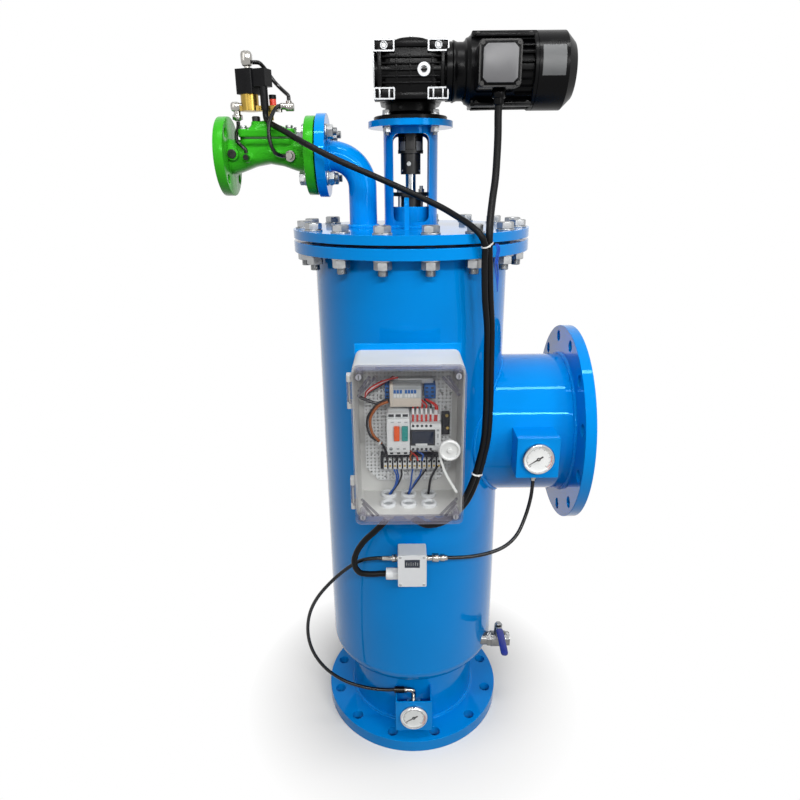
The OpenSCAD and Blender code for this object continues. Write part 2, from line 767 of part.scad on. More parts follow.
// Gearbox: housing, output flange, worm wheel
module gearbox_housing() {
    body_w = gear_w - 20;
    body_depth = gear_back_y - gear_face_y - pad_depth;
    half = gear_h / 2;
    pad_w = 42;
    pad_h = 23;
    color(black) {
        difference() {
            union() {
                translate([0, gear_back_y - body_depth / 2, worm_z - half + 2])
                    linear_extrude(gear_h - 4) rounded(body_w, body_depth, 24);
                // Round covers of the wheel, above and below
                translate([0, 0, worm_z - gear_axis_h + 6]) cylinder(d = 104, h = gear_axis_h);
                translate([0, 0, worm_z]) cylinder(d = 104, h = half + 4);
                // Worm bearing caps at both ends
                translate([0, worm_y, worm_z]) on_x(-gear_w / 2) cylinder(d = 66, h = motor_x + gear_w / 2);
                // Four milled pads on the corners of the front face and four on the back
                for (sx = [-1, 1]) for (sz = [-1, 1])
                    upright(sx * (gear_w - pad_w) / 2, gear_face_y + 40,
                            worm_z + sz * (half - pad_h / 2), 40)
                        square([pad_w, pad_h], center = true);
                // Ribs across the front face
                for (k = [-2:2])
                    upright(0, gear_face_y + pad_depth + 4, worm_z + 11 * k, 8)
                        square([gear_w - 34, 3], center = true);
                // Upright walls beside the ribs
                for (sx = [-1, 1])
                    upright(sx * (gear_w / 2 - 12), gear_face_y + 46, worm_z, 44)
                        square([8, gear_h - 20], center = true);
            }
            // Room for the wheel, the worm and the two shafts
            translate([0, 0, worm_z - 16]) cylinder(r = wheel_r + 3, h = 32);
            translate([0, worm_y, worm_z]) on_x(-gear_w / 2 + 20)
                cylinder(r = worm_r + 2, h = gear_w);
            translate([0, worm_y, worm_z]) on_x(-gear_w / 2 + 8)
                cylinder(r = motor_shaft_r + running, h = 20);
            translate([0, 0, gear_flange_top - 20])
                cylinder(d = output_d + 2 * running, h = gear_axis_h + 20);
            // Seat of the oil plug and the screw holes of the pads
            upright(oil_plug_x, gear_face_y + pad_depth, worm_z, 10) circle(d = oil_plug_d);
            for (sx = [-1, 1]) for (sz = [-1, 1])
                upright(sx * (gear_w - pad_w) / 2, gear_face_y + 14,
                        worm_z + sz * (half - pad_h / 2), 15) circle(d = 9);
        }
        difference() {
            translate([0, 0, top_plate_top]) cylinder(d = gear_flange_d, h = gear_flange_t);
            translate([0, 0, top_plate_top]) top_plate_holes(gear_flange_t);
            translate([0, 0, top_plate_top - 1])
                cylinder(d = output_d + 2 * running, h = gear_flange_t + 2);
        }
        difference() {
            translate([0, 0, gear_flange_top])
                cylinder(d1 = 112, d2 = 96, h = worm_z - gear_axis_h + 6 - gear_flange_top);
            translate([0, 0, gear_flange_top - 1]) cylinder(d = output_d + 2 * running, h = 10);
        }
    }
}
module worm_wheel() {
    teeth = 36;
    color("#A9833C") {
        translate([0, 0, worm_z - 12]) linear_extrude(24) difference() {
            circle(r = wheel_r);
            for (i = [0:teeth - 1]) rotate([0, 0, (i + 0.5) * 360 / teeth])
                polygon([[wheel_r - 4, -1.2], [wheel_r + 1, -2.2], [wheel_r + 1, 2.2], [wheel_r - 4, 1.2]]);
        }
        translate([0, 0, jaw_z + jaw_h + jaw_disc_t - 6])
            cylinder(d = output_d, h = worm_z + 16 - jaw_z - jaw_h - jaw_disc_t);
    }
}

// Motor: frame with its neck, terminal box, cowl, rotor and fan
module motor_axis() {
    translate([0, worm_y, worm_z]) children();
}
module motor_frame() {
    frame_r = motor_frame_d / 2;
    fin_r = cowl_d / 2 - 2;
    shield_t = 8;
    color(black) motor_axis() difference() {
        union() {
            on_x(motor_x) cylinder(d = motor_neck_d, h = motor_neck_len);
            on_x(motor_x) cylinder(d1 = motor_neck_d + 2, d2 = motor_neck_d, h = 6);
            on_x(frame_x) cylinder(r = frame_r, h = motor_frame_len);
            on_x(cowl_x - shield_t) cylinder(d = cowl_d, h = shield_t);
            // Cooling fins along the frame, left out where the terminal box sits
            for (i = [0:motor_fins - 1]) let (a = (i + 0.5) * 360 / motor_fins)
                if (cos(a) < 0.55) rotate([a, 0, 0])
                    translate([frame_x + 8, -fin_r, -1.3])
                        cube([motor_frame_len - 8 - shield_t + tiny, fin_r, 2.6]);
            // Rails for the feet, above and below
            for (s = [-1, 1]) translate([frame_x + 4, -34, s * (frame_r - 3) - 6])
                cube([motor_frame_len - 4, 68, 12]);
        }
        on_x(motor_x - 1) cylinder(r = motor_shaft_r + 3, h = motor_neck_len + 4);
        on_x(frame_x) cylinder(r = rotor_r + 3, h = motor_frame_len - shield_t - 4);
        on_x(cowl_x - shield_t - 5) cylinder(r = motor_shaft_r + running, h = shield_t + 6);
    }
}
module terminal_box() {
    half = terminal_w / 2;
    lid_t = 12;
    mid_x = terminal_mid_x;
    face_y = worm_y - terminal_reach;
    color(black) {
        difference() {
            upright(mid_x, worm_y - 30, terminal_z, terminal_reach - lid_t - 30)
                rounded(terminal_w, terminal_w, 6);
            motor_axis() on_x(frame_x) cylinder(d = motor_frame_d, h = motor_frame_len);
        }
        upright(mid_x, face_y + lid_t, terminal_z, lid_t - 4) rounded(terminal_w + 2, terminal_w + 2, 7);
        upright(mid_x, face_y + 4, terminal_z, 4)
            polygon([for (p = rounded_points(terminal_w - 12, terminal_w - 12, 12, 1)) p]);
        // Cable gland under the box
        translate(motor_gland) {
            cylinder(d = 19, h = 12);
            translate([0, 0, 12]) hex(22, 16);
        }
    }
}
module fan_cowl() {
    r = cowl_d / 2;
    bevel = 18;
    slots = 16;
    color(black) motor_axis() difference() {
        on_x(cowl_x) rotate_extrude() polygon([
            [r, 0], [r, cowl_len - bevel], [r - bevel, cowl_len], [0, cowl_len],
            [0, cowl_len - cowl_wall], [r - bevel - 1, cowl_len - cowl_wall],
            [r - cowl_wall, cowl_len - bevel - 1], [r - cowl_wall, 0]]);
        // Air slots in the end
        on_x(cowl_x + cowl_len - 2 * cowl_wall) for (i = [0:slots - 1]) rotate([0, 0, i * 360 / slots])
            translate([16, -2, 0]) cube([r - bevel - 20, 4, 3 * cowl_wall]);
    }
}
module rotor() {
    color("#8A8A8A") motor_axis() {
        on_x(-gear_w / 2 + 10) cylinder(r = motor_shaft_r, h = cowl_x + 34 + gear_w / 2 - 10);
        on_x(-38) cylinder(r = worm_r, h = 76);
        on_x(frame_x + 14) cylinder(r = rotor_r, h = motor_frame_len - 44);
    }
}
module cooling_fan() {
    blades = 8;
    tip_r = cowl_d / 2 - cowl_wall - 8;
    color("#2A2A2A") motor_axis() on_x(cowl_x + 14) {
        ring(36, 2 * motor_shaft_r + 2 * running, 22);
        difference() {
            cylinder(r = tip_r - 8, h = 3);
            translate([0, 0, -1]) cylinder(d = 34, h = 5);
        }
        for (i = [0:blades - 1]) rotate([0, 0, i * 360 / blades])
            translate([17, -1, 0]) cube([tip_r - 17, 2, 20]);
    }
}

// Flush line and its valve
module flush_pipe() {
    color(blue) {
        translate([-flush_x, 0, cover_top]) difference() {
            union() {
                cylinder(r = flush_r, h = flush_h - elbow_r);
                cylinder(r1 = flush_r + weld, r2 = flush_r, h = weld);
            }
            translate([0, 0, -1]) cylinder(r = flush_bore_r, h = flush_h);
        }
        translate([-flush_x - elbow_r, 0, flush_z - elbow_r]) rotate([90, 0, 0])
            rotate_extrude(angle = 90) translate([elbow_r, 0]) difference() {
                circle(r = flush_r);
                circle(r = flush_bore_r);
            }
        translate([0, 0, flush_z]) on_x(-flush_x - elbow_r - flush_stub)
            ring(flush_d, 2 * flush_bore_r, flush_stub);
    }
}
module flush_flange() {
    color(blue) translate([0, 0, flush_z]) on_x(flush_face_x) difference() {
        ring(flush_flange_od, 2 * flush_bore_r, flush_flange_t);
        on_circle(4, flush_pcd, 45)
            translate([0, 0, -1]) cylinder(d = joint_hole_d, h = flush_flange_t + 2);
    }
}
module bonnet_outline(shrink) {
    rounded(bonnet_len - shrink, bonnet_w - shrink, 20 - shrink / 4);
}
module valve_body() {
    port_r = valve_bore / 2 + 8;
    waist_z = flush_z + 14;
    seat_t = 10;
    color(green) difference() {
        union() {
            for (x = [valve_x0, valve_x1 - valve_flange_t]) translate([0, 0, flush_z]) on_x(x)
                cylinder(d = valve_flange_od, h = valve_flange_t);
            for (x = [valve_x0 + valve_flange_t, valve_x1 - valve_flange_t - 2]) hull() {
                translate([0, 0, flush_z]) on_x(x) cylinder(r = port_r, h = 2, $fn = 32);
                translate([0, 0, waist_z]) on_x(valve_cx - 20) cylinder(r = port_r - 4, h = 40, $fn = 32);
            }
            translate([valve_cx, 0, bonnet_joint_z - seat_t]) linear_extrude(seat_t) bonnet_outline(0);
            // Neck between the ports and the bonnet seat
            translate([valve_cx, 0, flush_z]) linear_extrude(bonnet_z - seat_t) bonnet_outline(24);
            // Bosses of the pilot ports and of the test port near the free end
            for (at = [left_port, right_port]) upright(at[0], 0, at[2], -at[1]) circle(d = 19);
            upright(valve_x0 + 30, 0, flush_z + 4, 44) circle(d = 26);
            // Square shoulder behind the free flange
            translate([valve_x0 + valve_flange_t, -port_r + 3, flush_z - 8])
                cube([22, 2 * port_r - 6, 32]);
        }
        translate([0, 0, flush_z]) on_x(valve_x0 - 1) cylinder(d = valve_bore, h = valve_len + 2);
        // Flat seat of the diaphragm between the flanges
        translate([valve_x0 + valve_flange_t, -bonnet_w, bonnet_joint_z])
            cube([valve_len - 2 * valve_flange_t, 2 * bonnet_w, bonnet_h]);
        for (end = [[valve_x0, flush_hole_d], [valve_x1 - valve_flange_t, joint_hole_d]])
            translate([0, 0, flush_z]) on_x(end[0] - 1)
                on_circle(4, flush_pcd, 45) cylinder(d = end[1], h = valve_flange_t + 2);
    }
    color(black) upright(valve_x0 + 30, -44, flush_z + 4, 3) circle(d = 20);
}
module valve_diaphragm() {
    color(black) translate([valve_cx, 0, bonnet_joint_z]) linear_extrude(diaphragm_t) bonnet_outline(2);
}
module valve_bonnet() {
    color(green) {
        translate([valve_cx, 0, bonnet_base_z]) linear_extrude(9) bonnet_outline(0);
        hull() {
            translate([valve_cx, 0, bonnet_base_z + 9]) linear_extrude(2) bonnet_outline(26);
            translate([valve_cx + 4, 0, bonnet_top_z - 2]) linear_extrude(2) bonnet_outline(48);
        }
        translate([pilot_x + 10, 0, bonnet_base_z + 9]) cylinder(d = 22, h = bonnet_h - 9);
        for (sx = [-1, 1]) for (sy = [-1, 1])
            translate([valve_cx + sx * (bonnet_len / 2 - 11), sy * (bonnet_w / 2 - 11), bonnet_base_z + 9])
                hex(13, 6);
    }
    // Black screw plug on the bonnet
    color(black) translate([pilot_x + 10, 0, bonnet_top_z]) cylinder(d = 17, h = 8);
}
module pilot_manifold() {
    color(brass) {
        difference() {
            union() {
                translate([pilot_x, 0, manifold_z]) cylinder(d = pilot_body_d, h = pilot_body_h);
                translate([pilot_x - 20, -11, manifold_z]) cube([40, 22, manifold_h]);
                translate([pilot_x, -8, manifold_z]) cube([tee_x - pilot_x, 16, manifold_h]);
                // Nipple that carries the pilot on the bonnet
                translate([pilot_x + 40, 4, bonnet_top_z])
                    cylinder(d = 12, h = manifold_z - bonnet_top_z + 1);
            }
            // Bore of the manual override
            translate([pilot_x + 47, 0, manifold_z + 4])
                cylinder(r = 3 + running, h = manifold_h);
        }
    }
}
module pilot_coil() {
    color(black) {
        translate([pilot_x, 0, coil_z]) rotate([0, 0, coil_turn]) {
            linear_extrude(coil_h) rounded(coil_w, coil_w, 3);
            // Plug connector on the coil's side
            translate([coil_w / 2 - 1, -14, coil_h - 33]) cube([connector_len + 1, 28, 32]);
        }
        // Cable spigot under the connector
        translate(spigot_end) cylinder(d = 16, h = spigot_h + 1);
    }
}
module pilot_tubes() {
    color(black) {
        tube_along(tube_left_route, tube_d);
        tube_along(tube_loop_route, tube_d);
        tube_along(tube_top_route, tube_d);
    }
}
module pilot_knob() {
    color("#D8432B") translate([pilot_x + 47, 0, manifold_z + 5]) {
        cylinder(r = 3, h = 10);
        translate([0, 0, manifold_h - 5 + clear]) cylinder(d = 14, h = 12);
    }
    color(black) translate([pilot_x + 47, 0, manifold_z + manifold_h + clear + 12])
        cylinder(d = 15, h = 8);
}
// Nickel plated elbows and nuts of the pilot, the pressure switch and the gauges
module hose_fittings() {
    color("#C9C9C9") {
        // Left elbow of the pilot body and its nut
        translate([pilot_x - 40, -10, manifold_z]) cube([20, 20, 18]);
        translate(left_nut) cylinder(d = 20, h = manifold_z - left_nut[2]);
        // Elbow on top of the coil
        translate([pilot_x, 0, coil_top]) cylinder(d = 14, h = 6);
        translate([pilot_x - 11, -11, coil_top + 6]) cube([22, 22, 28]);
        // Tee at the end of the manifold
        translate([tee_x, -9, manifold_z - 2]) cube([14, 18, 18]);
        translate([0, 0, tee_z]) on_x(tee_x + 14) cylinder(d = 17, h = 22);
        translate([tee_x + 26, 0, tee_z]) cylinder(d = 12, h = 12);
        // Ports on the front of the valve
        for (at = [left_port, right_port])
            upright(at[0], at[1], at[2], 16) square(port_size, center = true);
        // Ports of the pressure switch
        translate([0, switch_port_y, switch_port_z]) {
            on_x(switch_left_port[0]) cylinder(d = 10, h = 33.5);
            on_x(switch_right_port[0] - 45.5) cylinder(d = 12, h = 45.5);
            on_x(switch_right_port[0] - 33) hex(17, 14);
        }
        // Elbows behind the gauges
        translate([0, gauge_line_y, inlet_line_end[2]]) on_x(inlet_line_end[0])
            cylinder(d = 12, h = 6 - inlet_line_end[0]);
        translate([0, gauge_line_y, inlet_gauge_z + 7])
            cylinder(d = 11, h = inlet_line_end[2] - inlet_gauge_z - 7);
        translate(outlet_line_end) cylinder(d = 12, h = outlet_z - 7 - outlet_line_end[2]);
    }
}

// Inside of the vessel
module screen_basket() {
    rows = 12;
    color("silver") {
        translate([0, 0, screen_z]) ring(screen_od, screen_od - 2 * screen_wall, partition_z - screen_z);
        for (k = [1:rows - 1]) translate([0, 0, screen_z + k * (partition_z - screen_z) / rows])
            ring(screen_od + 8, screen_od, 4);
        // Seat of the screen, with the three arms of the lower bearing
        difference() {
            union() {
                translate([0, 0, seat_z]) ring(2 * bore_r, 2 * screen_r - 40, seat_t);
                for (i = [0:2]) rotate([0, 0, 120 * i + 30])
                    translate([0, -6, seat_z]) cube([screen_r - 15, 12, seat_t]);
                translate([0, 0, seat_z]) cylinder(r = pivot_r + 12, h = seat_t);
            }
            translate([0, 0, seat_z - 1]) cylinder(r = pivot_r + running, h = seat_t + 2);
        }
        // Plate between the screen and the flush chamber
        translate([0, 0, partition_z]) ring(2 * bore_r, scanner_d + 2 * running, partition_t);
    }
}
module scanner() {
    nozzle_d = 34;
    reach = screen_r - screen_wall - nozzle_gap;
    span = partition_z - scanner_z - 120;
    color("silver") {
        difference() {
            union() {
                translate([0, 0, scanner_z]) cylinder(r = scanner_r, h = scanner_top - scanner_z);
                for (k = [0:nozzle_count - 1]) rotate([0, 0, k * 90])
                    translate([0, 0, scanner_z + 80 + k * span / (nozzle_count - 1)])
                        on_x(0) cylinder(d = nozzle_d, h = reach);
            }
            translate([0, 0, scanner_z + 8]) cylinder(r = scanner_r - 4, h = scanner_top - scanner_z - 16);
            for (k = [0:nozzle_count - 1]) rotate([0, 0, k * 90])
                translate([0, 0, scanner_z + 80 + k * span / (nozzle_count - 1)])
                    on_x(0) cylinder(d = nozzle_d - 6, h = reach + 1);
            // Window that lets the dirt into the flush chamber
            translate([-scanner_d, -15, partition_z + partition_t + 2]) cube([2 * scanner_d, 30, 14]);
        }
        translate([0, 0, seat_z + 1]) cylinder(r = pivot_r, h = scanner_z - seat_z - 1);
    }
}

// Control box
module box_bracket() {
    plate_w = box_w + 4;
    plate_h = box_h + 16;
    web_x = 80;
    color(blue) {
        upright(box_x, box_back_y + bracket_t, box_z - 4 + plate_h / 2, bracket_t)
            square([plate_w, plate_h], center = true);
        // Webs back to the vessel
        difference() {
            for (s = [-1, 1]) translate([box_x + s * web_x - 3, box_back_y + bracket_t, box_z + 20])
                cube([6, box_standoff + vessel_r - 120, box_h - 40]);
            cylinder(r = vessel_r, h = body_flange_z);
        }
        // Bracket of the pressure switch
        difference() {
            translate([switch_x - 15, switch_back_y, switch_z + 20]) cube([30, switch_standoff + 20, 40]);
            cylinder(r = vessel_r, h = body_flange_z);
        }
    }
}
// The same, measured from the middle of the control box
module in_box(x, y, z, t) {
    upright(box_x + x, y, box_mid_z + z, t) children();
}
module box_holes() {
    for (y = gland_rows) for (x = gland_columns)
        translate([box_x + x, box_back_y + y, box_z - 1]) children();
}
module box_base() {
    inner_w = box_w - 2 * box_wall;
    inner_h = box_h - 2 * box_wall;
    color(grey) {
        difference() {
            upright(box_x, box_back_y, box_mid_z, box_depth) rounded(box_w, box_h, 12);
            upright(box_x, box_back_y - box_wall, box_mid_z, box_depth) rounded(inner_w, inner_h, 9);
            box_holes() cylinder(d = gland_hole_d, h = box_wall + 2);
        }
        // Bosses that the backplate stands on
        for (sx = [-1, 1]) for (sz = [-1, 1])
            in_box(sx * (inner_w / 2 - 24), box_back_y - box_wall, sz * (inner_h / 2 - 40),
                   box_back_y - box_wall - backplate_y) circle(d = 10);
        // Hinge ears and pins on the left wall
        for (z = hinge_places()) {
            for (k = [0, 1]) translate([hinge_x, box_rim_y, z + k * (hinge_len - 12)]) {
                cylinder(r = hinge_r, h = 12);
                translate([-hinge_r, 0, 0]) cube([box_left - hinge_x + hinge_r, 15, 12]);
            }
            translate([hinge_x, box_rim_y, z]) cylinder(r = hinge_pin_r, h = hinge_len);
        }
    }
}
function hinge_places() = [box_z + 18, box_z + box_h - 18 - hinge_len];
module box_lid() {
    inner_w = box_w - 2 * box_wall;
    inner_h = box_h - 2 * box_wall;
    knuckle_h = hinge_len - 24 - 2 * clear;
    lid_back = box_rim_y - clear;
    color(grey, 0.4) {
        difference() {
            union() {
                difference() {
                    upright(box_x, lid_back, box_mid_z, lid_depth - clear) rounded(box_w, box_h, 12);
                    upright(box_x, lid_back + 1, box_mid_z, lid_depth - clear - box_wall + 1)
                        rounded(inner_w, inner_h, 9);
                }
                // Corner tubes of the lid screws
                for (sx = [-1, 1]) for (sz = [-1, 1])
                    lid_corner(sx, sz, lid_back, lid_depth - clear - 1) circle(d = 16);
            }
            for (sx = [-1, 1]) for (sz = [-1, 1]) {
                lid_corner(sx, sz, lid_face_y + 6, 10) circle(d = 11);
                lid_corner(sx, sz, lid_back + 1, lid_depth) circle(d = 7);
            }
        }
        for (z = hinge_places()) translate([hinge_x, box_rim_y, z + 12 + clear]) difference() {
            union() {
                cylinder(r = hinge_r, h = knuckle_h);
                translate([0, -12, 0]) cube([box_left - hinge_x + 1, 12 - clear, knuckle_h]);
            }
            translate([0, 0, -1]) cylinder(r = hinge_pin_r + running, h = knuckle_h + 2);
        }
    }
}
module lid_corner(sx, sz, y, t) {
    upright(box_x + sx * (box_w / 2 - 14), y, box_mid_z + sz * (box_h / 2 - 14), t) children();
}
module lid_fittings() {
    color(grey) for (sx = [-1, 1]) for (sz = [-1, 1])
        lid_corner(sx, sz, lid_face_y + 6, 5) difference() {
            circle(d = 10.4);
            square([1.6, 8], center = true);
        }
    // Round sealing cap with its strap
    color("white") {
        in_box(72, lid_face_y, 1, 5) circle(d = 38);
        in_box(72, lid_face_y - 5, 1, 3) difference() {
            circle(d = 38);
            circle(d = 30);
        }
        in_box(72, lid_face_y - 5, 1, 3) circle(d = 9);
    }
}
module box_backplate() {
    color("#C9CCCB") upright(box_x, backplate_y, box_mid_z + 4, backplate_t)
        square([box_w - 30, box_h - 56], center = true);
}
module motor_starter() {
    color(grey) difference() {
        union() {
            in_box(-19, device_y, 7, device_y - starter_face_y) rounded(42, 76, 2);
            in_box(-19, device_y, 7, device_y - starter_face_y - 12) rounded(42, 83, 2);
        }
        button_pocket(-22) square([10 + 2 * clear, 28 + 2 * clear], center = true);
        button_pocket(-7) square([11 + 2 * clear, 28 + 2 * clear], center = true);
    }
}
module button_pocket(x) {
    in_box(x, starter_face_y + button_travel + 6, 12, 20) children();
}
module push_button(x, w) {
    in_box(x, starter_face_y + 5.5, 12, 5.5 + button_travel + 1) square([w, 28], center = true);
}
module stop_button() {
    color("#E8622A") push_button(-22, 10);
}
module start_button() {
    color("#1F8C86") push_button(-7, 11);
}
// Contactor with its display, and the clear relay module above
module control_relays() {
    color(grey) {
        in_box(32, device_y, 0, 62) rounded(57, 62, 2);
        in_box(32, device_y, 0, 48) square([57, 78], center = true);
        in_box(-1, device_y, 77, 45) rounded(52, 42, 3);
    }
    color("#16202E") in_box(26, device_y - 62, 3, 2) square([44, 30], center = true);
    color("#1F5FA8") for (x = [-37, 37]) in_box(x, device_y, 79, 34) square([18, 30], center = true);
}
module terminal_strip() {
    count = 12;
    pitch = 9.5;
    color(black) in_box(7, device_y, -69, 22) square([124, 28], center = true);
    color("white") for (i = [0:count - 1])
        in_box(7 + (i - (count - 1) / 2) * pitch, device_y - 22, -69, 8) square([6, 22], center = true);
}
module box_glands() {
    color("white") box_holes() {
        translate([0, 0, 1 + box_wall]) hex(28, 6);
        translate([0, 0, 1 - gland_drop])
            cylinder(d = gland_hole_d - 2 * running, h = gland_drop + box_wall);
        translate([0, 0, 1 - 10]) hex(24, 10);
        translate([0, 0, 1 - gland_drop]) cylinder(d = 23, h = gland_drop - 10);
    }
}

// Pressure switch and gauges
module pressure_switch() {
    face_y = switch_back_y - switch_depth;
    mid_z = switch_z + switch_h / 2;
    color("#D5D8DC") {
        difference() {
            upright(switch_x, switch_back_y, mid_z, switch_depth) rounded(switch_w, switch_h, 3);
            upright(switch_x, face_y + 3, switch_z + switch_h - 21, 4) square([32, 20], center = true);
        }
        // Cable gland on the left
        translate([0, switch_port_y, switch_gland_z]) {
            on_x(switch_gland_end[0]) cylinder(d = 26, h = 14);
            on_x(switch_gland_end[0] + 14) hex(24, 11.5);
        }
    }
    color(black) upright(switch_x, face_y + 3, switch_z + switch_h - 21, 1) square([30, 18], center = true);
}
module gauge_bracket_plate(at) {
    half = gauge_plate / 2;
    difference() {
        upright(at[0], at[1] + gauge_plate_t, at[2], gauge_plate_t) square(gauge_plate, center = true);
        upright(at[0], at[1] + gauge_plate_t + 1, at[2], gauge_plate_t + 2) circle(d = gauge_d + 1);
    }
}
module gauge_brackets() {
    half = gauge_plate / 2;
    depth = gauge_standoff + pipe_r;
    color(blue) {
        gauge_bracket_plate(inlet_gauge);
        gauge_bracket_plate(outlet_gauge);
        // Cheeks of the inlet bracket, shaped to the neck
        difference() {
            for (s = [-1, 1])
                translate([s * (half - gauge_plate_t / 2) - gauge_plate_t / 2,
                           inlet_gauge[1] + gauge_plate_t, inlet_gauge_z - half])
                    cube([gauge_plate_t, depth - gauge_plate_t - 100, gauge_plate - 6]);
            cylinder(r = pipe_r, h = neck_top);
        }
        // Cheeks and roof of the outlet bracket
        difference() {
            union() {
                for (s = [-1, 1])
                    translate([outlet_gauge_x + s * (half - gauge_plate_t / 2) - gauge_plate_t / 2,
                               outlet_gauge[1] + gauge_plate_t, outlet_z - half])
                        cube([gauge_plate_t, depth - gauge_plate_t - 100, gauge_plate]);
                translate([outlet_gauge_x - half + gauge_plate_t, outlet_gauge[1] + gauge_plate_t,
                           outlet_z + half - gauge_plate_t])
                    cube([gauge_plate - 2 * gauge_plate_t, depth - gauge_plate_t - 100, gauge_plate_t]);
            }
            translate([0, 0, outlet_z]) on_x(0) cylinder(r = pipe_r, h = outlet_reach);
        }
    }
}
module gauge_case(at) {
    difference() {
        union() {
            upright(at[0], at[1] + gauge_depth, at[2], gauge_depth) circle(d = gauge_d);
            upright(at[0], at[1], at[2], 9) circle(d = bezel_d);
        }
        upright(at[0], at[1] - 4, at[2], 10) circle(d = bezel_d - 8);
    }
    // Spindle of the needle
    upright(at[0], at[1] - 4, at[2], 4) circle(r = 1.5);
    // Connection block behind the case
    translate([at[0] - 7, at[1] + gauge_depth, at[2] - 7]) cube([14, 14, 14]);
}
module gauge_cases() {
    color("silver") {
        gauge_case(inlet_gauge);
        gauge_case(outlet_gauge);
    }
}
// Needle at the low end of its scale, about 213 degrees
module gauge_needle(at) {
    color(black) translate([at[0], at[1] - 5, at[2]]) rotate([90, 0, 0]) difference() {
        union() {
            cylinder(r = 4, h = 1);
            rotate([0, 0, 213]) linear_extrude(1)
                polygon([[-11, -1.6], [-11, 1.6], [24, 0.5], [24, -0.5]]);
        }
        translate([0, 0, -1]) cylinder(r = 1.5 + running, h = 3);
    }
}
module outlet_needle() {
    gauge_needle(outlet_gauge);
}
module inlet_needle() {
    gauge_needle(inlet_gauge);
}

// Drain ball valve
module drain_valve() {
    stem_boss_h = lever_z - drain_z - 6;
    color("#BDBDBD") difference() {
        union() {
            difference() {
                translate([0, -drain_y, drain_z]) on_x(drain_x - 60) cylinder(d = 30, h = 60);
                cylinder(r = vessel_r, h = body_flange_z);
            }
            translate([0, -drain_y, drain_z]) {
                on_x(drain_x) hex(32, 14);
                on_x(drain_x + drain_len - 14) hex(32, 14);
                on_x(drain_x + 10) cylinder(d = drain_d, h = drain_len - 20);
            }
            translate([drain_mid_x, -drain_y, drain_z]) cylinder(r = stem_r + 5, h = stem_boss_h);
        }
        translate([0, -drain_y, drain_z]) on_x(100) cylinder(d = drain_bore, h = 300);
        translate([drain_mid_x, -drain_y, drain_z]) {
            sphere(r = ball_r + clear);
            cylinder(r = stem_r + running, h = stem_boss_h + 1);
        }
    }
}
// Lever, stem and ball, drawn closed: the lever lies across the pipe
module drain_lever() {
    lever_w = 16;
    lever_t = 3;
    color("#1F2C86") translate([drain_mid_x, -drain_y, lever_z]) difference() {
        union() {
            cylinder(d = 20, h = lever_t);
            translate([-lever_w / 2, -lever_len, 0]) cube([lever_w, lever_len - 6, lever_t]);
            translate([-lever_w / 2 - 2, -lever_len - 2, -2])
                cube([lever_w + 4, lever_len * 0.62, lever_t + 4]);
        }
        translate([0, 0, -1]) cylinder(r = stem_r - 1, h = lever_t + 2);
    }
    color("#BDBDBD") translate([drain_mid_x, -drain_y, drain_z]) {
        difference() {
            sphere(r = ball_r);
            rotate([90, 0, 0]) cylinder(d = drain_bore - 3, h = 4 * ball_r, center = true);
        }
        translate([0, 0, ball_r - 3]) cylinder(r = stem_r, h = lever_z - drain_z - ball_r + 3);
        translate([0, 0, lever_z - drain_z]) cylinder(r = stem_r - 1, h = lever_t + 6);
        translate([0, 0, lever_z - drain_z + lever_t]) hex(13, 5);
    }
}

// Cables and hoses
module motor_cable() {
    color(black) tube_along(motor_cable_route, motor_cable_d);
}
module solenoid_cable() {
    color(black) tube_along(solenoid_cable_route, cable_d);
}
module switch_cable() {
    color(black) tube_along(switch_cable_route, switch_cable_d);
}
module outlet_hose() {
    color(black) tube_along(outlet_hose_route, hose_d);
}
module inlet_hose() {
    color(black) tube_along(inlet_hose_route, hose_d);
}

inlet_flange();
inlet_neck();
bottom_head();
vessel_shell();
outlet_neck();
outlet_flange();
body_flange();
cover_plate();
seals();
cover_bolts();
stuffing_box();
gland_follower();
lantern();
fasteners();
gearbox_housing();
motor_frame();
terminal_box();
fan_cowl();
flush_pipe();
flush_flange();
valve_body();
valve_bonnet();
valve_diaphragm();
pilot_manifold();
pilot_coil();
hose_fittings();
screen_basket();
box_bracket();
box_base();
box_backplate();
motor_starter();
control_relays();
terminal_strip();
box_glands();
pressure_switch();
gauge_brackets();
gauge_cases();
drain_valve();
pilot_tubes();
motor_cable();
solenoid_cable();
switch_cable();
outlet_hose();
inlet_hose();
main_shaft();
coupling_hubs();
coupling_spider();
worm_wheel();
scanner();
rotor();
cooling_fan();
box_lid();
lid_fittings();
drain_lever();
outlet_needle();
inlet_needle();
stop_button();
start_button();
pilot_knob();
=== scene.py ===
import math

import bmesh
import bpy
from mathutils import Matrix, Vector


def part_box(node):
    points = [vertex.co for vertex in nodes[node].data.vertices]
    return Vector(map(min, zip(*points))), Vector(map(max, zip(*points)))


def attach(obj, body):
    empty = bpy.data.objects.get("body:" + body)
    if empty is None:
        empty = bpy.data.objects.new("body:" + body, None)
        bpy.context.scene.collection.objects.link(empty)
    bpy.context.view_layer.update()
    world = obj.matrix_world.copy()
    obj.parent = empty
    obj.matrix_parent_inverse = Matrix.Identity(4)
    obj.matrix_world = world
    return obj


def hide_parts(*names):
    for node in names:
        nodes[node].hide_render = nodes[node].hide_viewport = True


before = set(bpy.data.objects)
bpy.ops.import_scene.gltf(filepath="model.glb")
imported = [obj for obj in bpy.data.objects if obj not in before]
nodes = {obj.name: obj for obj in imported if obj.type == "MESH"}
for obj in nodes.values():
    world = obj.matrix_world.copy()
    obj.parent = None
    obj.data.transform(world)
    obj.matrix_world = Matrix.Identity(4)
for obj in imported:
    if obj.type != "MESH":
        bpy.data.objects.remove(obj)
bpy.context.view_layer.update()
scene = bpy.context.scene
scene.view_settings.view_transform = "Standard"

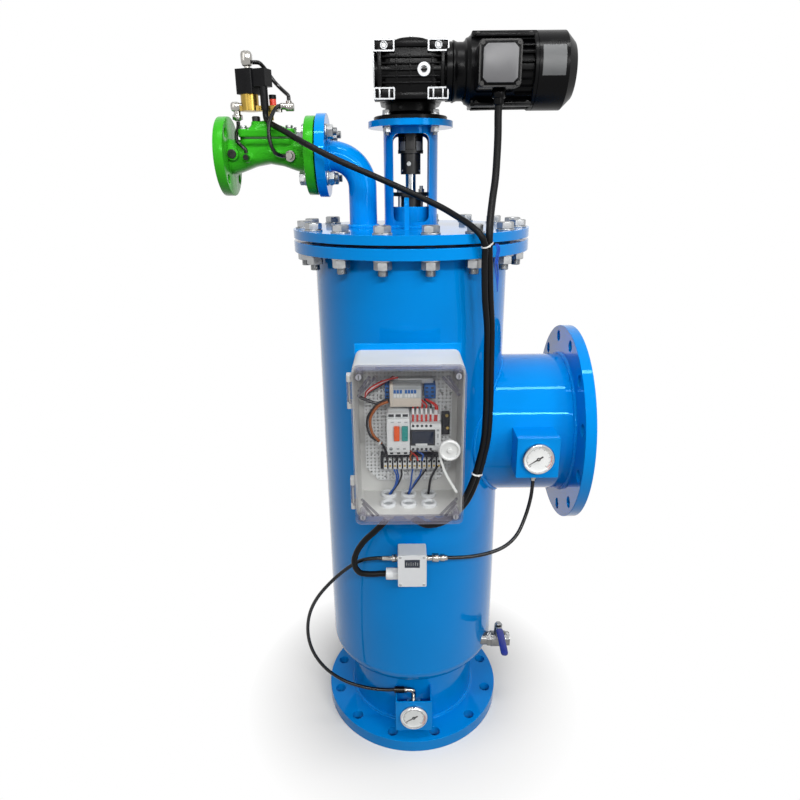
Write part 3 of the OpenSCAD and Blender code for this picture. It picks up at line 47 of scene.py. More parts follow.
# Camera: it stands at the height of the lantern, straight in front of the control box,
# and looks down by about 19 degrees.
pan, tilt, roll = (math.radians(angle) for angle in (-0.16, 19.34, -0.55))
camera_spot = (-0.0234, -1.3983, 1.3462)
ahead = Vector((math.sin(pan) * math.cos(tilt), math.cos(pan) * math.cos(tilt), -math.sin(tilt)))
level = Vector((math.cos(pan), -math.sin(pan), 0))
upward = level.cross(ahead)
view_right = level * math.cos(roll) + upward * math.sin(roll)
view_up = upward * math.cos(roll) - level * math.sin(roll)
camera = bpy.data.objects.new("camera", bpy.data.cameras.new("camera"))
camera.data.sensor_width = 36
camera.data.lens = 27.72
camera.matrix_world = Matrix.Translation(camera_spot) @ Matrix(
    (view_right, view_up, -ahead)).transposed().to_4x4()
scene.collection.objects.link(camera)
scene.camera = camera


# Floor and light: a white studio sweep that keeps the soft shadow, a softbox on each side, a
# strip lamp in front and one above, and an even world light that fills the shaded faces.
def colour(code):
    """Linear colour of an sRGB hex code."""
    parts = [int(code[i:i + 2], 16) / 255 for i in (1, 3, 5)]
    return tuple(c / 12.92 if c <= 0.04045 else ((c + 0.055) / 1.055) ** 2.4 for c in parts) + (1,)


def add(tree, kind, inputs=(), **settings):
    """Adds a node, sets its settings and links or fills its inputs."""
    node = tree.nodes.new(kind)
    for name, value in settings.items():
        setattr(node, name, value)
    for socket, value in dict(inputs).items():
        if isinstance(value, bpy.types.NodeSocket):
            tree.links.new(value, node.inputs[socket])
        else:
            node.inputs[socket].default_value = value
    return node


def empty_material(name):
    made = bpy.data.materials.new(name)
    made.use_nodes = True
    made.node_tree.nodes.clear()
    return made, made.node_tree


def seen_directly(tree):
    """1 on the rays that show the background: seen, mirrored or through clear plastic."""
    path = add(tree, "ShaderNodeLightPath").outputs
    shown = path["Is Camera Ray"]
    for ray in ("Is Glossy Ray", "Is Transmission Ray"):
        shown = add(tree, "ShaderNodeMath", {0: shown, 1: path[ray]}, operation="MAXIMUM").outputs[0]
    return shown


floor_half, paper_glow_level, fill_level = 9, 0.07, 0.17
sweep_near, sweep_far = 0.24, 0.46
floor_paper, tree = empty_material("matt_white_floor_paper")
floor_place = add(tree, "ShaderNodeTexCoord").outputs["Object"]
paper_grain = add(tree, "ShaderNodeTexNoise", {"Vector": floor_place, "Scale": 3.0, "Detail": 2.0})
paper_tone = add(tree, "ShaderNodeMixRGB", {
    0: paper_grain.outputs["Fac"], 1: colour("#DFDDD9"), 2: colour("#E4E2DF")})
# The paper throws little light back on the vessel, as a small sheet in a dark studio does
paper_seen = add(tree, "ShaderNodeMixRGB", {
    0: seen_directly(tree), 1: colour("#7A7773"), 2: paper_tone.outputs[0]})
paper = add(tree, "ShaderNodeBsdfDiffuse", {"Color": paper_seen.outputs[0]})
paper_glow = add(tree, "ShaderNodeEmission", {"Color": colour("#FFFFFF"), "Strength": add(
    tree, "ShaderNodeMath", {0: seen_directly(tree), 1: paper_glow_level}, operation="MULTIPLY").outputs[0]})
near_floor = add(tree, "ShaderNodeAddShader", {0: paper.outputs[0], 1: paper_glow.outputs[0]})
# Away from the object the sweep runs into the white of the room
sweep = add(tree, "ShaderNodeMapRange", {
    "Value": add(tree, "ShaderNodeVectorMath", {0: floor_place}, operation="LENGTH").outputs["Value"],
    "From Min": sweep_near, "From Max": sweep_far})
far_share = add(tree, "ShaderNodeMath", {0: sweep.outputs[0], 1: seen_directly(tree)}, operation="MULTIPLY")
far_floor = add(tree, "ShaderNodeEmission", {"Color": colour("#FFFFFF"), "Strength": 1.0})
add(tree, "ShaderNodeOutputMaterial", {"Surface": add(tree, "ShaderNodeMixShader", {
    0: far_share.outputs[0], 1: near_floor.outputs[0], 2: far_floor.outputs[0]}).outputs[0]})
floor_mesh = bpy.data.meshes.new("floor")
floor_mesh.from_pydata([(x * floor_half, y * floor_half, 0) for x, y in ((-1, -1), (1, -1), (1, 1), (-1, 1))],
                       [], [(0, 1, 2, 3)])
floor_mesh.materials.append(floor_paper)
floor = bpy.data.objects.new("floor", floor_mesh)
scene.collection.objects.link(floor)

world = bpy.data.worlds.new("studio")
scene.world = world
world.use_nodes = True
tree = world.node_tree
tree.nodes.clear()
fill_light = add(tree, "ShaderNodeBackground", {"Color": colour("#FFFFFF"), "Strength": fill_level})
white_room = add(tree, "ShaderNodeBackground", {"Color": colour("#FFFFFF"), "Strength": 1.0})
add(tree, "ShaderNodeOutputWorld", {"Surface": add(tree, "ShaderNodeMixShader", {
    0: seen_directly(tree), 1: fill_light.outputs[0], 2: white_room.outputs[0]}).outputs[0]})

for name, place, aim, size, power in (
        ("left_softbox", (-1.7, -2.4, 2.4), (0, 0, 0.8), (0.8, 2.0), 10),
        ("front_strip", (0.3, -3.1, 2.7), (0, 0, 0.7), (2.0, 0.16), 64),
        ("right_softbox", (1.9, -2.3, 2.2), (0, 0, 0.8), (0.8, 2.2), 40),
        ("top_strip", (0.2, -0.9, 3.5), (0, 0, 1.0), (2.2, 0.2), 44)):
    lamp = bpy.data.lights.new(name, "AREA")
    lamp.shape = "RECTANGLE"
    lamp.size, lamp.size_y = size
    lamp.energy = power
    softbox = bpy.data.objects.new(name, lamp)
    softbox.location = place
    softbox.rotation_euler = (Vector(aim) - Vector(place)).to_track_quat("-Z", "Y").to_euler()
    scene.collection.objects.link(softbox)


# Cables and hoses: the motor cable and the solenoid cable come down the front side by side
# to the control box, the third cable joins the box to the pressure switch and two slim hoses
# join the switch to the gauges. PVC sheaths and nylon hose, pushed into glands and nuts.
MM = 0.001


def noisy_finish(name, dark, light, patch, grain, relief, rough, metallic=0.0, shine=0.5,
                 sheen="#FFFFFF"):
    """Finish with slow colour patches and a fine grain, both given in millimetres. rough is the
    lowest and highest roughness, relief the grain's height, and shine and sheen the strength and
    the colour of what it mirrors head on."""
    made, tree = empty_material(name)
    place = add(tree, "ShaderNodeTexCoord").outputs["Object"]
    patches = add(tree, "ShaderNodeTexNoise", {
        "Vector": place, "Scale": 1 / (patch * MM), "Detail": 3.0})
    grains = add(tree, "ShaderNodeTexNoise", {
        "Vector": place, "Scale": 1 / (grain * MM), "Detail": 2.0})
    tone = add(tree, "ShaderNodeMixRGB", {
        0: patches.outputs["Fac"], 1: colour(dark), 2: colour(light)})
    gloss = add(tree, "ShaderNodeMapRange", {
        "Value": patches.outputs["Fac"], "From Min": 0.3, "From Max": 0.7,
        "To Min": rough[0], "To Max": rough[1]})
    bump = add(tree, "ShaderNodeBump", {
        "Height": grains.outputs["Fac"], "Strength": 0.6, "Distance": relief * MM})
    shader = add(tree, "ShaderNodeBsdfPrincipled", {
        "Base Color": tone.outputs[0], "Roughness": gloss.outputs[0], "Normal": bump.outputs[0],
        "Metallic": metallic, "Specular IOR Level": shine, "Specular Tint": colour(sheen)})
    add(tree, "ShaderNodeOutputMaterial", {"Surface": shader.outputs[0]})
    return made


def spline(route, steps):
    """Points of the smooth curve through a route, as the solids of the part follow it."""
    points = []
    for i in range(len(route) - 1):
        b, c = Vector(route[i]), Vector(route[i + 1])
        a = Vector(route[i - 1]) if i else 2 * b - c
        d = Vector(route[i + 2]) if i + 2 < len(route) else 2 * c - b
        for k in range(steps):
            t = k / steps
            points.append(0.5 * (2 * b + (c - a) * t + (2 * a - 5 * b + 4 * c - d) * t * t
                                 + (3 * b - a - 3 * c + d) * t ** 3))
    return points + [Vector(route[-1])]


def fitted(name, data, body, slot, *replaced):
    """The piece that holds a mesh or a curve, riding on its body in place of the CAD nodes."""
    piece = bpy.data.objects.new(name, data)
    scene.collection.objects.link(piece)
    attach(piece, body)
    if replaced:
        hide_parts(*replaced)
    return piece


# Soft PVC: matt black with a faint oily sheen and the slight waviness of an extrusion
cable_sheath = noisy_finish("black_pvc_sheath", "#0A0A0B", "#121213", 60, 2.5, 0.08, (0.34, 0.48),
                            shine=0.12)
# Nylon hose: harder and glossier than the cables
hose_nylon = noisy_finish("black_nylon_hose", "#070708", "#0E0E0F", 80, 4, 0.03, (0.2, 0.3), shine=0.3)
cords = {
    "motor_cable": (14, "hanging", cable_sheath, [
        (158, -160, 1479), (158, -160, 1463), (159, -161, 1430), (158.5, -163, 1395), (156.5, -168, 1355),
        (151, -181, 1320), (145, -204, 1288), (141.5, -223, 1262), (141.5, -224, 1236), (143.5, -220, 1205),
        (148.5, -213.5, 1140), (154, -209, 1080), (155.5, -208, 1030), (157, -208, 968), (158, -208, 907),
        (156, -209, 846), (148.5, -210.5, 801), (138, -213.5, 758), (119, -219.5, 709), (93, -232.5, 682),
        (60, -250, 667), (28, -268, 672), (8, -279, 688), (-6, -285.5, 702), (-11, -287, 713),
        (-11, -287, 724)]),
    "solenoid_cable": (12, "hanging", cable_sheath, [
        (-296, -18.6, 1490), (-296, -18.6, 1480), (-293, -22, 1471), (-279, -40, 1461), (-246, -76, 1444),
        (-205, -108, 1421), (-142, -122, 1390), (-76, -128, 1362), (-5, -138, 1331), (52, -158, 1305),
        (84, -190, 1287), (103, -222, 1275), (122, -245, 1258), (132, -239, 1236), (133, -233, 1205),
        (137, -226, 1140), (144, -220, 1080), (145.5, -219, 1030), (147, -219, 968), (148, -219, 907),
        (146, -220, 846), (138, -222, 801), (127, -225, 758), (107, -232, 712), (82, -250, 688),
        (56, -271, 684), (40, -282.5, 694), (31.5, -286.5, 705), (29, -287, 714), (29, -287, 724)]),
    "switch_cable": (13, "loose", cable_sheath, [
        (-51, -287, 724), (-51, -287, 713), (-54, -287.5, 702), (-62, -288, 690), (-82, -287, 668),
        (-104, -282, 643), (-121, -279, 614), (-127, -277, 585), (-117, -273, 560), (-94, -265, 550),
        (-74, -262.5, 549), (-60, -262.5, 549)]),
    "outlet_hose": (8, "loose", hose_nylon, [
        (262, -185, 733), (262, -185, 720), (258, -192, 690), (246, -206, 654), (227, -224, 621),
        (200, -240, 602), (164, -253, 593), (126, -260, 589), (92, -262.5, 588), (72, -262.5, 588)]),
    "inlet_hose": (8, "loose", hose_nylon, [
        (-68, -262.5, 588), (-84, -262.5, 588), (-116, -257, 578), (-150, -252, 552), (-185, -245, 514),
        (-217, -232, 466), (-239, -218, 414), (-249, -208, 360), (-247, -202, 310), (-234, -195, 262),
        (-207, -189, 216), (-165, -186, 180), (-115, -185, 160), (-72, -185, 153), (-48, -185, 153)])}
cord_lines = {}
for name, (diameter, lay, sheath, route) in cords.items():
    line = cord_lines[name] = spline(route, 5)
    curve = bpy.data.curves.new(name + "_line", "CURVE")
    curve.dimensions = "3D"
    curve.bevel_depth = diameter / 2 * MM
    curve.bevel_resolution = 4
    curve.use_fill_caps = True
    run = curve.splines.new("POLY")
    run.points.add(len(line) - 1)
    for point, place in zip(run.points, line):
        point.co = (*(place * MM), 1)
    run.use_smooth = True
    curve.materials.append(sheath)
    cord = fitted(name + "_sheath", curve, "vessel", "hose", name)
    length = sum((b - a).length for a, b in zip(line, line[1:])) * MM


# Cable ties: two white nylon ties hold the motor and solenoid cables together, one at the
# cover joint and one beside the control box. Blue strands hang from the upper one.
def round_steps(count, first=0.0):
    """Cosine and sine of equal steps round a circle, from an angle in degrees."""
    angles = (math.radians(first + 360 * k / count) for k in range(count))
    return [(math.cos(a), math.sin(a)) for a in angles]


def along(start, direction):
    """Place of a shape that is drawn from its origin along +Z."""
    turn = Vector(direction).to_track_quat("Z", "Y").to_matrix().to_4x4()
    return Matrix.Translation(Vector(start)) @ turn


def smooth(mesh, sharp):
    """Smooth shading, apart from edges that turn by more than the angle sharp in degrees."""
    mesh.polygons.foreach_set("use_smooth", [True] * len(mesh.polygons))
    mesh.set_sharp_from_angle(angle=math.radians(sharp))


class Shape:
    """A piece in millimetres, measured from its own origin, that takes one form after another,
    each in its own material."""

    def __init__(self, origin=(0, 0, 0)):
        self.bm = bmesh.new()
        self.materials = []
        self.origin = Matrix.Translation(origin)

    def take(self, form, material, place=Matrix()):
        form.transform(self.origin @ place)
        if material not in self.materials:
            self.materials.append(material)
        for face in form.faces:
            face.material_index = self.materials.index(material)
        mesh = bpy.data.meshes.new("form")
        form.to_mesh(mesh)
        form.free()
        self.bm.from_mesh(mesh)
        bpy.data.meshes.remove(mesh)

    def block(self, material, low, high, edge=0.0, place=Matrix()):
        """Block between two corners, with its edges rounded."""
        form = bmesh.new()
        size = Vector(high) - Vector(low)
        bmesh.ops.create_cube(form, size=1, matrix=Matrix.Translation((Vector(high) + Vector(low)) / 2)
                              @ Matrix.Diagonal((*size, 1)))
        if edge:
            bmesh.ops.bevel(form, geom=form.edges[:], offset=edge, segments=2, profile=0.5,
                            affect="EDGES", clamp_overlap=True)
        self.take(form, material, place)

    def turned(self, material, start, direction, profile, sides=40):
        """Turned form: profile gives (distance along the axis, radius) from end to end. Both ends
        are closed on the axis, unless the profile comes back to its start."""
        if profile[0] != profile[-1]:
            profile = [(profile[0][0], 0), *profile, (profile[-1][0], 0)]
        form = bmesh.new()
        rings = [[form.verts.new((r * c, r * s, h)) for c, s in round_steps(sides if r else 1)]
                 for h, r in profile]
        for low, high in zip(rings, rings[1:]):
            for k in range(sides):
                corners = dict.fromkeys((low[k % len(low)], low[(k + 1) % len(low)],
                                         high[(k + 1) % len(high)], high[k % len(high)]))
                if len(corners) > 2:
                    form.faces.new(list(corners))
        bmesh.ops.remove_doubles(form, verts=form.verts[:], dist=1e-5)
        bmesh.ops.recalc_face_normals(form, faces=form.faces[:])
        self.take(form, material, along(start, direction))

    def prism(self, material, outline, place, depth, edge=0.0, holes=()):
        """Outline raised along its own Z, with any holes through it."""
        form = bmesh.new()
        ends = []
        for height in (0, depth):
            loops = [[form.verts.new((x, y, height)) for x, y in loop] for loop in (outline, *holes)]
            rims = [form.edges.new((loop[k - 1], loop[k])) for loop in loops for k in range(len(loop))]
            if holes:
                bmesh.ops.triangle_fill(form, use_beauty=True, edges=rims)
            else:
                form.faces.new(loops[0])
            ends.append(loops)
        for low, high in zip(*ends):
            for k in range(len(low)):
                form.faces.new((low[k - 1], low[k], high[k], high[k - 1]))
        bmesh.ops.recalc_face_normals(form, faces=form.faces[:])
        if edge:
            rim = [e for e in form.edges if e.calc_face_angle(0) > 0.6]
            bmesh.ops.bevel(form, geom=rim, offset=edge, segments=2, profile=0.5, affect="EDGES",
                            clamp_overlap=True)
        self.take(form, material, place)

    def hexagon(self, material, start, direction, flats, height, turn=0.0):
        """Hexagon head or nut, with both rims chamfered to a circle and turned by radians."""
        form = bmesh.new()
        corner, face_r = flats / math.sqrt(3), 0.485 * flats
        drop = (corner - flats / 2) * 0.58
        for h, rim in ((0, drop), (height, height - drop)):
            for count, radius, z in ((6, corner, rim), (24, face_r, h)):
                for c, s in round_steps(count, math.degrees(turn)):
                    form.verts.new((radius * c, radius * s, z))
        bmesh.ops.convex_hull(form, input=form.verts[:])
        self.take(form, material, along(start, direction))

    def skin(self, material, sections):
        """Skin over closed sections of equally many points, capped at both ends."""
        form = bmesh.new()
        rings = [[form.verts.new(point) for point in section] for section in sections]
        for a, b in zip(rings, rings[1:]):
            for k in range(len(a)):
                form.faces.new((a[k - 1], a[k], b[k], b[k - 1]))
        form.faces.new(rings[0])
        form.faces.new(rings[-1])
        bmesh.ops.recalc_face_normals(form, faces=form.faces[:])
        self.take(form, material)

    def tube(self, material, points, radius, sides=8):
        """Round wire or pipe along a line of points, closed at both ends."""
        points = [Vector(point) for point in points]
        side, sections = None, []
        for before, point, after in zip([points[0]] + points, points, points[1:] + [points[-1]]):
            run = (after - before).normalized()
            side = (side - run * side.dot(run)).normalized() if side else run.orthogonal().normalized()
            other = run.cross(side)
            sections.append([point + radius * (side * c + other * s) for c, s in round_steps(sides)])
        self.skin(material, sections)

    def mesh(self, name):
        """All forms as one mesh, in metres."""
        made = bpy.data.meshes.new(name)
        bmesh.ops.scale(self.bm, vec=(MM, MM, MM), verts=self.bm.verts[:])
        self.bm.to_mesh(made)
        self.bm.free()
        return made

    def done(self, name, body, slot, *replaced):
        """Makes the finished piece."""
        mesh = self.mesh(name)
        for material in self.materials:
            mesh.materials.append(material)
        smooth(mesh, 32)
        fitted(name, mesh, body, slot, *replaced)


def nearest(line, height):
    """Which point of a line lies nearest to a height."""
    return min(range(len(line) - 1), key=lambda i: abs(line[i].z - height))


# Nylon 66: milky white or deep blue, half gloss
tie_nylon = noisy_finish("white_nylon_tie", "#DADAD6", "#EFEFEC", 8, 1.5, 0.05, (0.3, 0.45))
blue_nylon = noisy_finish("blue_nylon_tie", "#1446A8", "#1C58C4", 8, 1.5, 0.05, (0.3, 0.45))
ties = Shape()
motor_line, solenoid_line = cord_lines["motor_cable"], cord_lines["solenoid_cable"]
motor_cable_r, solenoid_cable_r = cords["motor_cable"][0] / 2, cords["solenoid_cable"][0] / 2
# The first points lie above the place where the two cables meet
upper_points = 20
for height, band, head in ((1236, 2.4, 2.6), (770, 3.4, 3.4)):
    i, k = (nearest(line[upper_points:], height) + upper_points for line in (motor_line, solenoid_line))
    right, left = motor_line[i], solenoid_line[k]
    run = (solenoid_line[k + 1] - left).normalized()
    across = right - left
    across = across - run * across.dot(run)
    span = across.length
    across.normalize()
    place = Matrix((across, run.cross(across), run)).transposed().to_4x4()
    place.translation = left - run * band / 2
    inner, outer = ([(middle + (r + reach) * math.cos(a), (r + reach) * math.sin(a))
                     for middle, r, first in ((span, motor_cable_r, -90), (0, solenoid_cable_r, 90))
                     for a in (math.radians(first + 15 * n) for n in range(13))] for reach in (0.1, 1.3))
    ties.prism(tie_nylon, outer, place, band, holes=[inner])
    # Ratchet head in front
    ties.block(tie_nylon, (1, 6.8, -0.5), (1 + 1.5 * head, 6.8 + head, band + 0.5), 0.6, place)
for shift, drop in ((0, 0), (2.4, -9), (-2, -20)):
    strand = [(154 + shift, -231, 1240), (158 + shift, -232, 1230), (155 + shift, -231, 1212 + drop / 2),
              (159 + shift / 2, -229, 1192 + drop), (160, -228, 1172 + drop)]
    ties.tube(blue_nylon, spline(strand, 6), 1.2, 6)
ties.done("cable_ties", "vessel", "white_plastic")


# Vessel: rolled steel shell with a knuckled bottom head, two necks and forged flanges, all
# welded and painted together in a thick gloss enamel. Edges are softened by the paint.
def refined(name, finish, slot, body="vessel", edge=0.0):
    """The node's own solid with its triangles joined, smooth faces and softened edges."""
    mesh = nodes[name].data.copy()
    if "custom_normal" in mesh.attributes:
        mesh.attributes.remove(mesh.attributes["custom_normal"])
    bm = bmesh.new()
    bm.from_mesh(mesh)
    bmesh.ops.remove_doubles(bm, verts=bm.verts[:], dist=2e-6)
    bmesh.ops.dissolve_limit(bm, angle_limit=math.radians(0.4), verts=bm.verts[:], edges=bm.edges[:])
    bm.to_mesh(mesh)
    bm.free()
    mesh.materials.clear()
    mesh.materials.append(finish)
    mesh.polygons.foreach_set("material_index", [0] * len(mesh.polygons))
    smooth(mesh, 28)
    piece = fitted(name + "_finished", mesh, body, slot, name)
    if edge:
        bevel = piece.modifiers.new("softened_edges", "BEVEL")
        bevel.width = edge * MM
        bevel.segments = 2
        bevel.limit_method = "ANGLE"
        bevel.angle_limit = math.radians(40)
        bevel.harden_normals = True
    return piece


# Two-pack enamel: saturated blue under a clear gloss, with the faint orange peel of a spray gun
blue_enamel = noisy_finish("blue_gloss_enamel", "#007CCA", "#0089DC", 240, 9, 0.008, (0.04, 0.07),
                           shine=0.32, sheen="#5CB0F2")
for name in ("inlet_flange", "inlet_neck", "bottom_head", "vessel_shell", "outlet_neck", "outlet_flange",
             "body_flange", "cover_plate", "stuffing_box", "lantern", "flush_pipe", "flush_flange",
             "box_bracket", "gauge_brackets"):
    refined(name, blue_enamel, "blue_enamel", edge=1.2 if "neck" not in name else 0)


# Welds: a rippled bead closes each corner between pipe, flange, shell and plate, and is
# painted over with the rest.
def pattern(name, mesh):
    """An object that a tree or a modifier works from, removed again afterwards."""
    made = bpy.data.objects.new(name, mesh)
    scene.collection.objects.link(made)
    return made


def grown(name, tree, seed, settings, body, slot, *replaced):
    """Runs a geometry tree on a seed mesh and keeps what it makes as a plain mesh."""
    holder = pattern(name + "_seed", seed)
    modifier = holder.modifiers.new("grow", "NODES")
    modifier.node_group = tree
    for item in tree.interface.items_tree:
        if item.in_out == "INPUT" and item.name in settings:
            modifier[item.identifier] = settings[item.name]
    mesh = bpy.data.meshes.new_from_object(holder.evaluated_get(bpy.context.evaluated_depsgraph_get()))
    mesh.name = name
    bpy.data.objects.remove(holder)
    return fitted(name, mesh, body, slot, *replaced)


def geometry_tree(name, **inputs):
    """An empty geometry tree with a Geometry input and output and further named inputs."""
    tree = bpy.data.node_groups.new(name, "GeometryNodeTree")
    tree.interface.new_socket("Geometry", in_out="INPUT", socket_type="NodeSocketGeometry")
    for key, kind in inputs.items():
        tree.interface.new_socket(key, in_out="INPUT", socket_type="NodeSocket" + kind)
    tree.interface.new_socket("Geometry", in_out="OUTPUT", socket_type="NodeSocketGeometry")
    return tree, add(tree, "NodeGroupInput").outputs


def close_tree(tree, instances, finish):
    """Ends a tree: real geometry, smooth shading and its material."""
    real = add(tree, "GeometryNodeRealizeInstances", {0: instances})
    shaded = add(tree, "GeometryNodeSetShadeSmooth", {0: real.outputs[0]})
    dressed = add(tree, "GeometryNodeSetMaterial", {0: shaded.outputs[0], "Material": finish})
    add(tree, "NodeGroupOutput", {0: dressed.outputs[0]})


def path_mesh(name, paths):
    """Wire mesh of closed paths in millimetres."""
    points, wires = [], []
    for path in paths:
        first = len(points)
        points += [Vector(p) * MM for p in path]
        wires += [(first + k, first + (k + 1) % len(path)) for k in range(len(path))]
    mesh = bpy.data.meshes.new(name)
    mesh.from_pydata(points, wires, [])
    return mesh


def circle(radius, height=0.0, count=96):
    return [(radius * c, radius * s, height) for c, s in round_steps(count)]


bead_tree, given = geometry_tree("weld_bead", Bead="Float", Pitch="Float", Finish="Material")
bead_path = add(bead_tree, "GeometryNodeMeshToCurve", {0: given["Geometry"]})
bead_spots = add(bead_tree, "GeometryNodeResampleCurve", {
    "Curve": bead_path.outputs[0], "Length": given["Pitch"]}, mode="LENGTH")
bead_drop = add(bead_tree, "GeometryNodeMeshIcoSphere", {"Radius": given["Bead"], "Subdivisions": 2})
bead_size = add(bead_tree, "FunctionNodeRandomValue", {2: 0.9, 3: 1.08, "Seed": 4}, data_type="FLOAT")
bead_row = add(bead_tree, "GeometryNodeInstanceOnPoints", {
    "Points": bead_spots.outputs[0], "Instance": bead_drop.outputs[0], "Scale": bead_size.outputs[1]})
close_tree(bead_tree, bead_row.outputs[0], given["Finish"])

neck_r, shell_r, riser_r, riser_x = 163, 211, 31, -103
outlet_z, cover_z, flush_z = 800, 1259, 1403
# The outlet neck meets the round shell in a saddle
sunk = 0.5
saddle = [(math.sqrt((shell_r - sunk) ** 2 - ((neck_r - sunk) * c) ** 2), (neck_r - sunk) * c,
           outlet_z + (neck_r - sunk) * s) for c, s in round_steps(120)]
grown("vessel_welds", bead_tree, path_mesh("weld_lines", [
    circle(neck_r, 36), circle(neck_r, 179), circle(shell_r, 1211), saddle,
    [(353.5, y, outlet_z + z) for y, z, _ in circle(neck_r)],
    [(riser_x + x, y, cover_z + 1) for x, y, _ in circle(riser_r, count=48)],
    circle(58, cover_z, 64), circle(39, cover_z, 48),
    [(-172, y, flush_z + z) for y, z, _ in circle(riser_r, count=48)]]),
      {"Bead": 4.2 * MM, "Pitch": 3.6 * MM, "Finish": blue_enamel}, "vessel", "blue_enamel")

# Gaskets and packing: rings cut from sheet rubber lie between the joints, and rings of packing
# are pressed round the shaft in the stuffing box.
# Sheet rubber: dull black, a little dusty
rubber = noisy_finish("black_sheet_rubber", "#141414", "#202020", 30, 1.2, 0.1, (0.5, 0.7))
refined("seals", rubber, "rubber")


# Bolts: zinc plated hexagon bolts with a washer at both ends and a nut below, sixteen round
# the cover, four under the gearbox and four through the flush flanges.
up, to_front, to_right = (0, 0, 1), (0, -1, 0), (1, 0, 0)


def bolt_form(thread, grip, tip):
    """Bolt that stands with its nut's seat at the origin and its head up."""
    shape = Shape()
    washer, flats, nut, turn_count = 3, 1.5 * thread, 0.8 * thread, 5
    for start in (grip, -washer):
        shape.turned(None, (0, 0, start), up, [(0, 0.91 * thread), (0.5, 0.925 * thread),
                                               (2.5, 0.925 * thread), (washer, 0.91 * thread)], 28)
    shape.hexagon(None, (0, 0, grip + washer), up, flats, 0.65 * thread)
    shape.hexagon(None, (0, 0, -washer - nut), up, flats, nut, 0.3)
    # Thread turns below the nut
    end = -washer - nut - tip
    turns = [(0, 0.4 * thread)]
    for k in range(turn_count):
        turns += [(tip * (k + 0.5) / turn_count, 0.5 * thread), (tip * (k + 1) / turn_count, 0.44 * thread)]
    shape.turned(None, (0, 0, end), up, turns + [(tip - end, 0.44 * thread)], 20)
    mesh = shape.mesh("bolt_form")
    mesh.set_sharp_from_angle(angle=math.radians(30))
    return pattern("bolt_form", mesh)


# Zinc plate: pale, slightly blue metal with a cloudy passivation
zinc = noisy_finish("zinc_plated_steel", "#8F9193", "#B9BABA", 9, 1.2, 0.04, (0.3, 0.45), metallic=1.0)
bolt_tree, given = geometry_tree("bolts", Bolt="Object", Stand="Rotation", Spread="Float", Finish="Material")
bolt_shape = add(bolt_tree, "GeometryNodeObjectInfo", {"Object": given["Bolt"]})
bolt_spin = add(bolt_tree, "FunctionNodeRandomValue", {2: 0.0, 3: given["Spread"], "Seed": 7},
                data_type="FLOAT")
bolt_twist = add(bolt_tree, "FunctionNodeAxisAngleToRotation", {
    "Axis": up, "Angle": bolt_spin.outputs[1]})
bolt_turn = add(bolt_tree, "FunctionNodeRotateRotation", {
    0: given["Stand"], 1: bolt_twist.outputs[0]}, rotation_space="LOCAL")
bolt_row = add(bolt_tree, "GeometryNodeInstanceOnPoints", {
    "Points": given["Geometry"], "Instance": bolt_shape.outputs["Geometry"],
    "Rotation": bolt_turn.outputs[0]})
close_tree(bolt_tree, bolt_row.outputs[0], given["Finish"])


def bolts(name, spots, size, stand, *replaced):
    """A set of like bolts with their nuts' seats at the spots."""
    seed = bpy.data.meshes.new(name + "_spots")
    seed.from_pydata([Vector(spot) * MM for spot in spots], [], [])
    form = bolt_form(*size)
    piece = grown(name, bolt_tree, seed, {"Bolt": form, "Stand": stand, "Spread": 1.0, "Finish": zinc},
                  "vessel", "zinc_steel", *replaced)
    bpy.data.objects.remove(form)
    piece.data.set_sharp_from_angle(angle=math.radians(30))


cover_bolt_r, lantern_bolt_r, flush_bolt_r = 230, 68, 62.5
head_up, head_left = (0, 0, 0), (0, -math.pi / 2, 0)
bolts("cover_joint_bolts", [(cover_bolt_r * c, cover_bolt_r * s, 1212) for c, s in round_steps(16, -81.75)],
      (20, 46, 12), head_up, "cover_bolts")
bolts("lantern_bolts", [(lantern_bolt_r * c, lantern_bolt_r * s, 1455) for c, s in round_steps(4, 45)],
      (10, 21, 6), head_up, "fasteners")
bolts("flush_bolts", [(-173, flush_bolt_r * c, flush_z + flush_bolt_r * s) for c, s in round_steps(4, 45)],
      (16, 43, 8), head_left, "fasteners")

# Gland follower, shaft and coupling: the follower presses the packing with two plated studs,
# the ground shaft runs through it and the jaw coupling of blackened steel drives the shaft.
# Ground steel: bright and even, with a fine satin
ground_steel = noisy_finish("ground_stainless_steel", "#B9BBBD", "#CFD0D1", 40, 0.8, 0.01, (0.16, 0.26),
                            metallic=1.0)
refined("main_shaft", ground_steel, "stainless", "drive", 0.6)
# Black oxide: thin, oily, nearly black with brown-grey rubbed spots
black_oxide = noisy_finish("black_oxide_steel", "#171717", "#2B2A29", 14, 1.0, 0.05, (0.28, 0.42),
                           metallic=0.5)
follower = refined("gland_follower", black_oxide, "zinc_steel", edge=0.6)
follower.data.materials.append(zinc)
# Everything above and below the follower's plate belongs to a stud or its nuts
follower_hub_r, follower_low, follower_top = 22, 1320.5, 1329.5
for face in follower.data.polygons:
    x, y, z = face.center / MM
    if math.hypot(x, y) > follower_hub_r and not follower_low < z < follower_top:
        face.material_index = 1
refined("coupling_hubs", black_oxide, "black_enamel", "drive", 0.6)
refined("coupling_spider", rubber, "rubber", "drive", 0.3)
coupling = Shape()
coupling.turned(zinc, (-4, -18, 1385.5), to_front, [
    (0, 4.6), (4.6, 4.6), (5, 4.2), (5, 2.8), (3, 2.6)], 24)
for c, s in round_steps(3, 90):
    coupling.turned(zinc, (20.6 * c, 20.6 * s, 1372), (c, s, 0), [
        (0, 3), (1, 3), (1.2, 2.6), (1.2, 1.4), (0.4, 1.3)], 18)
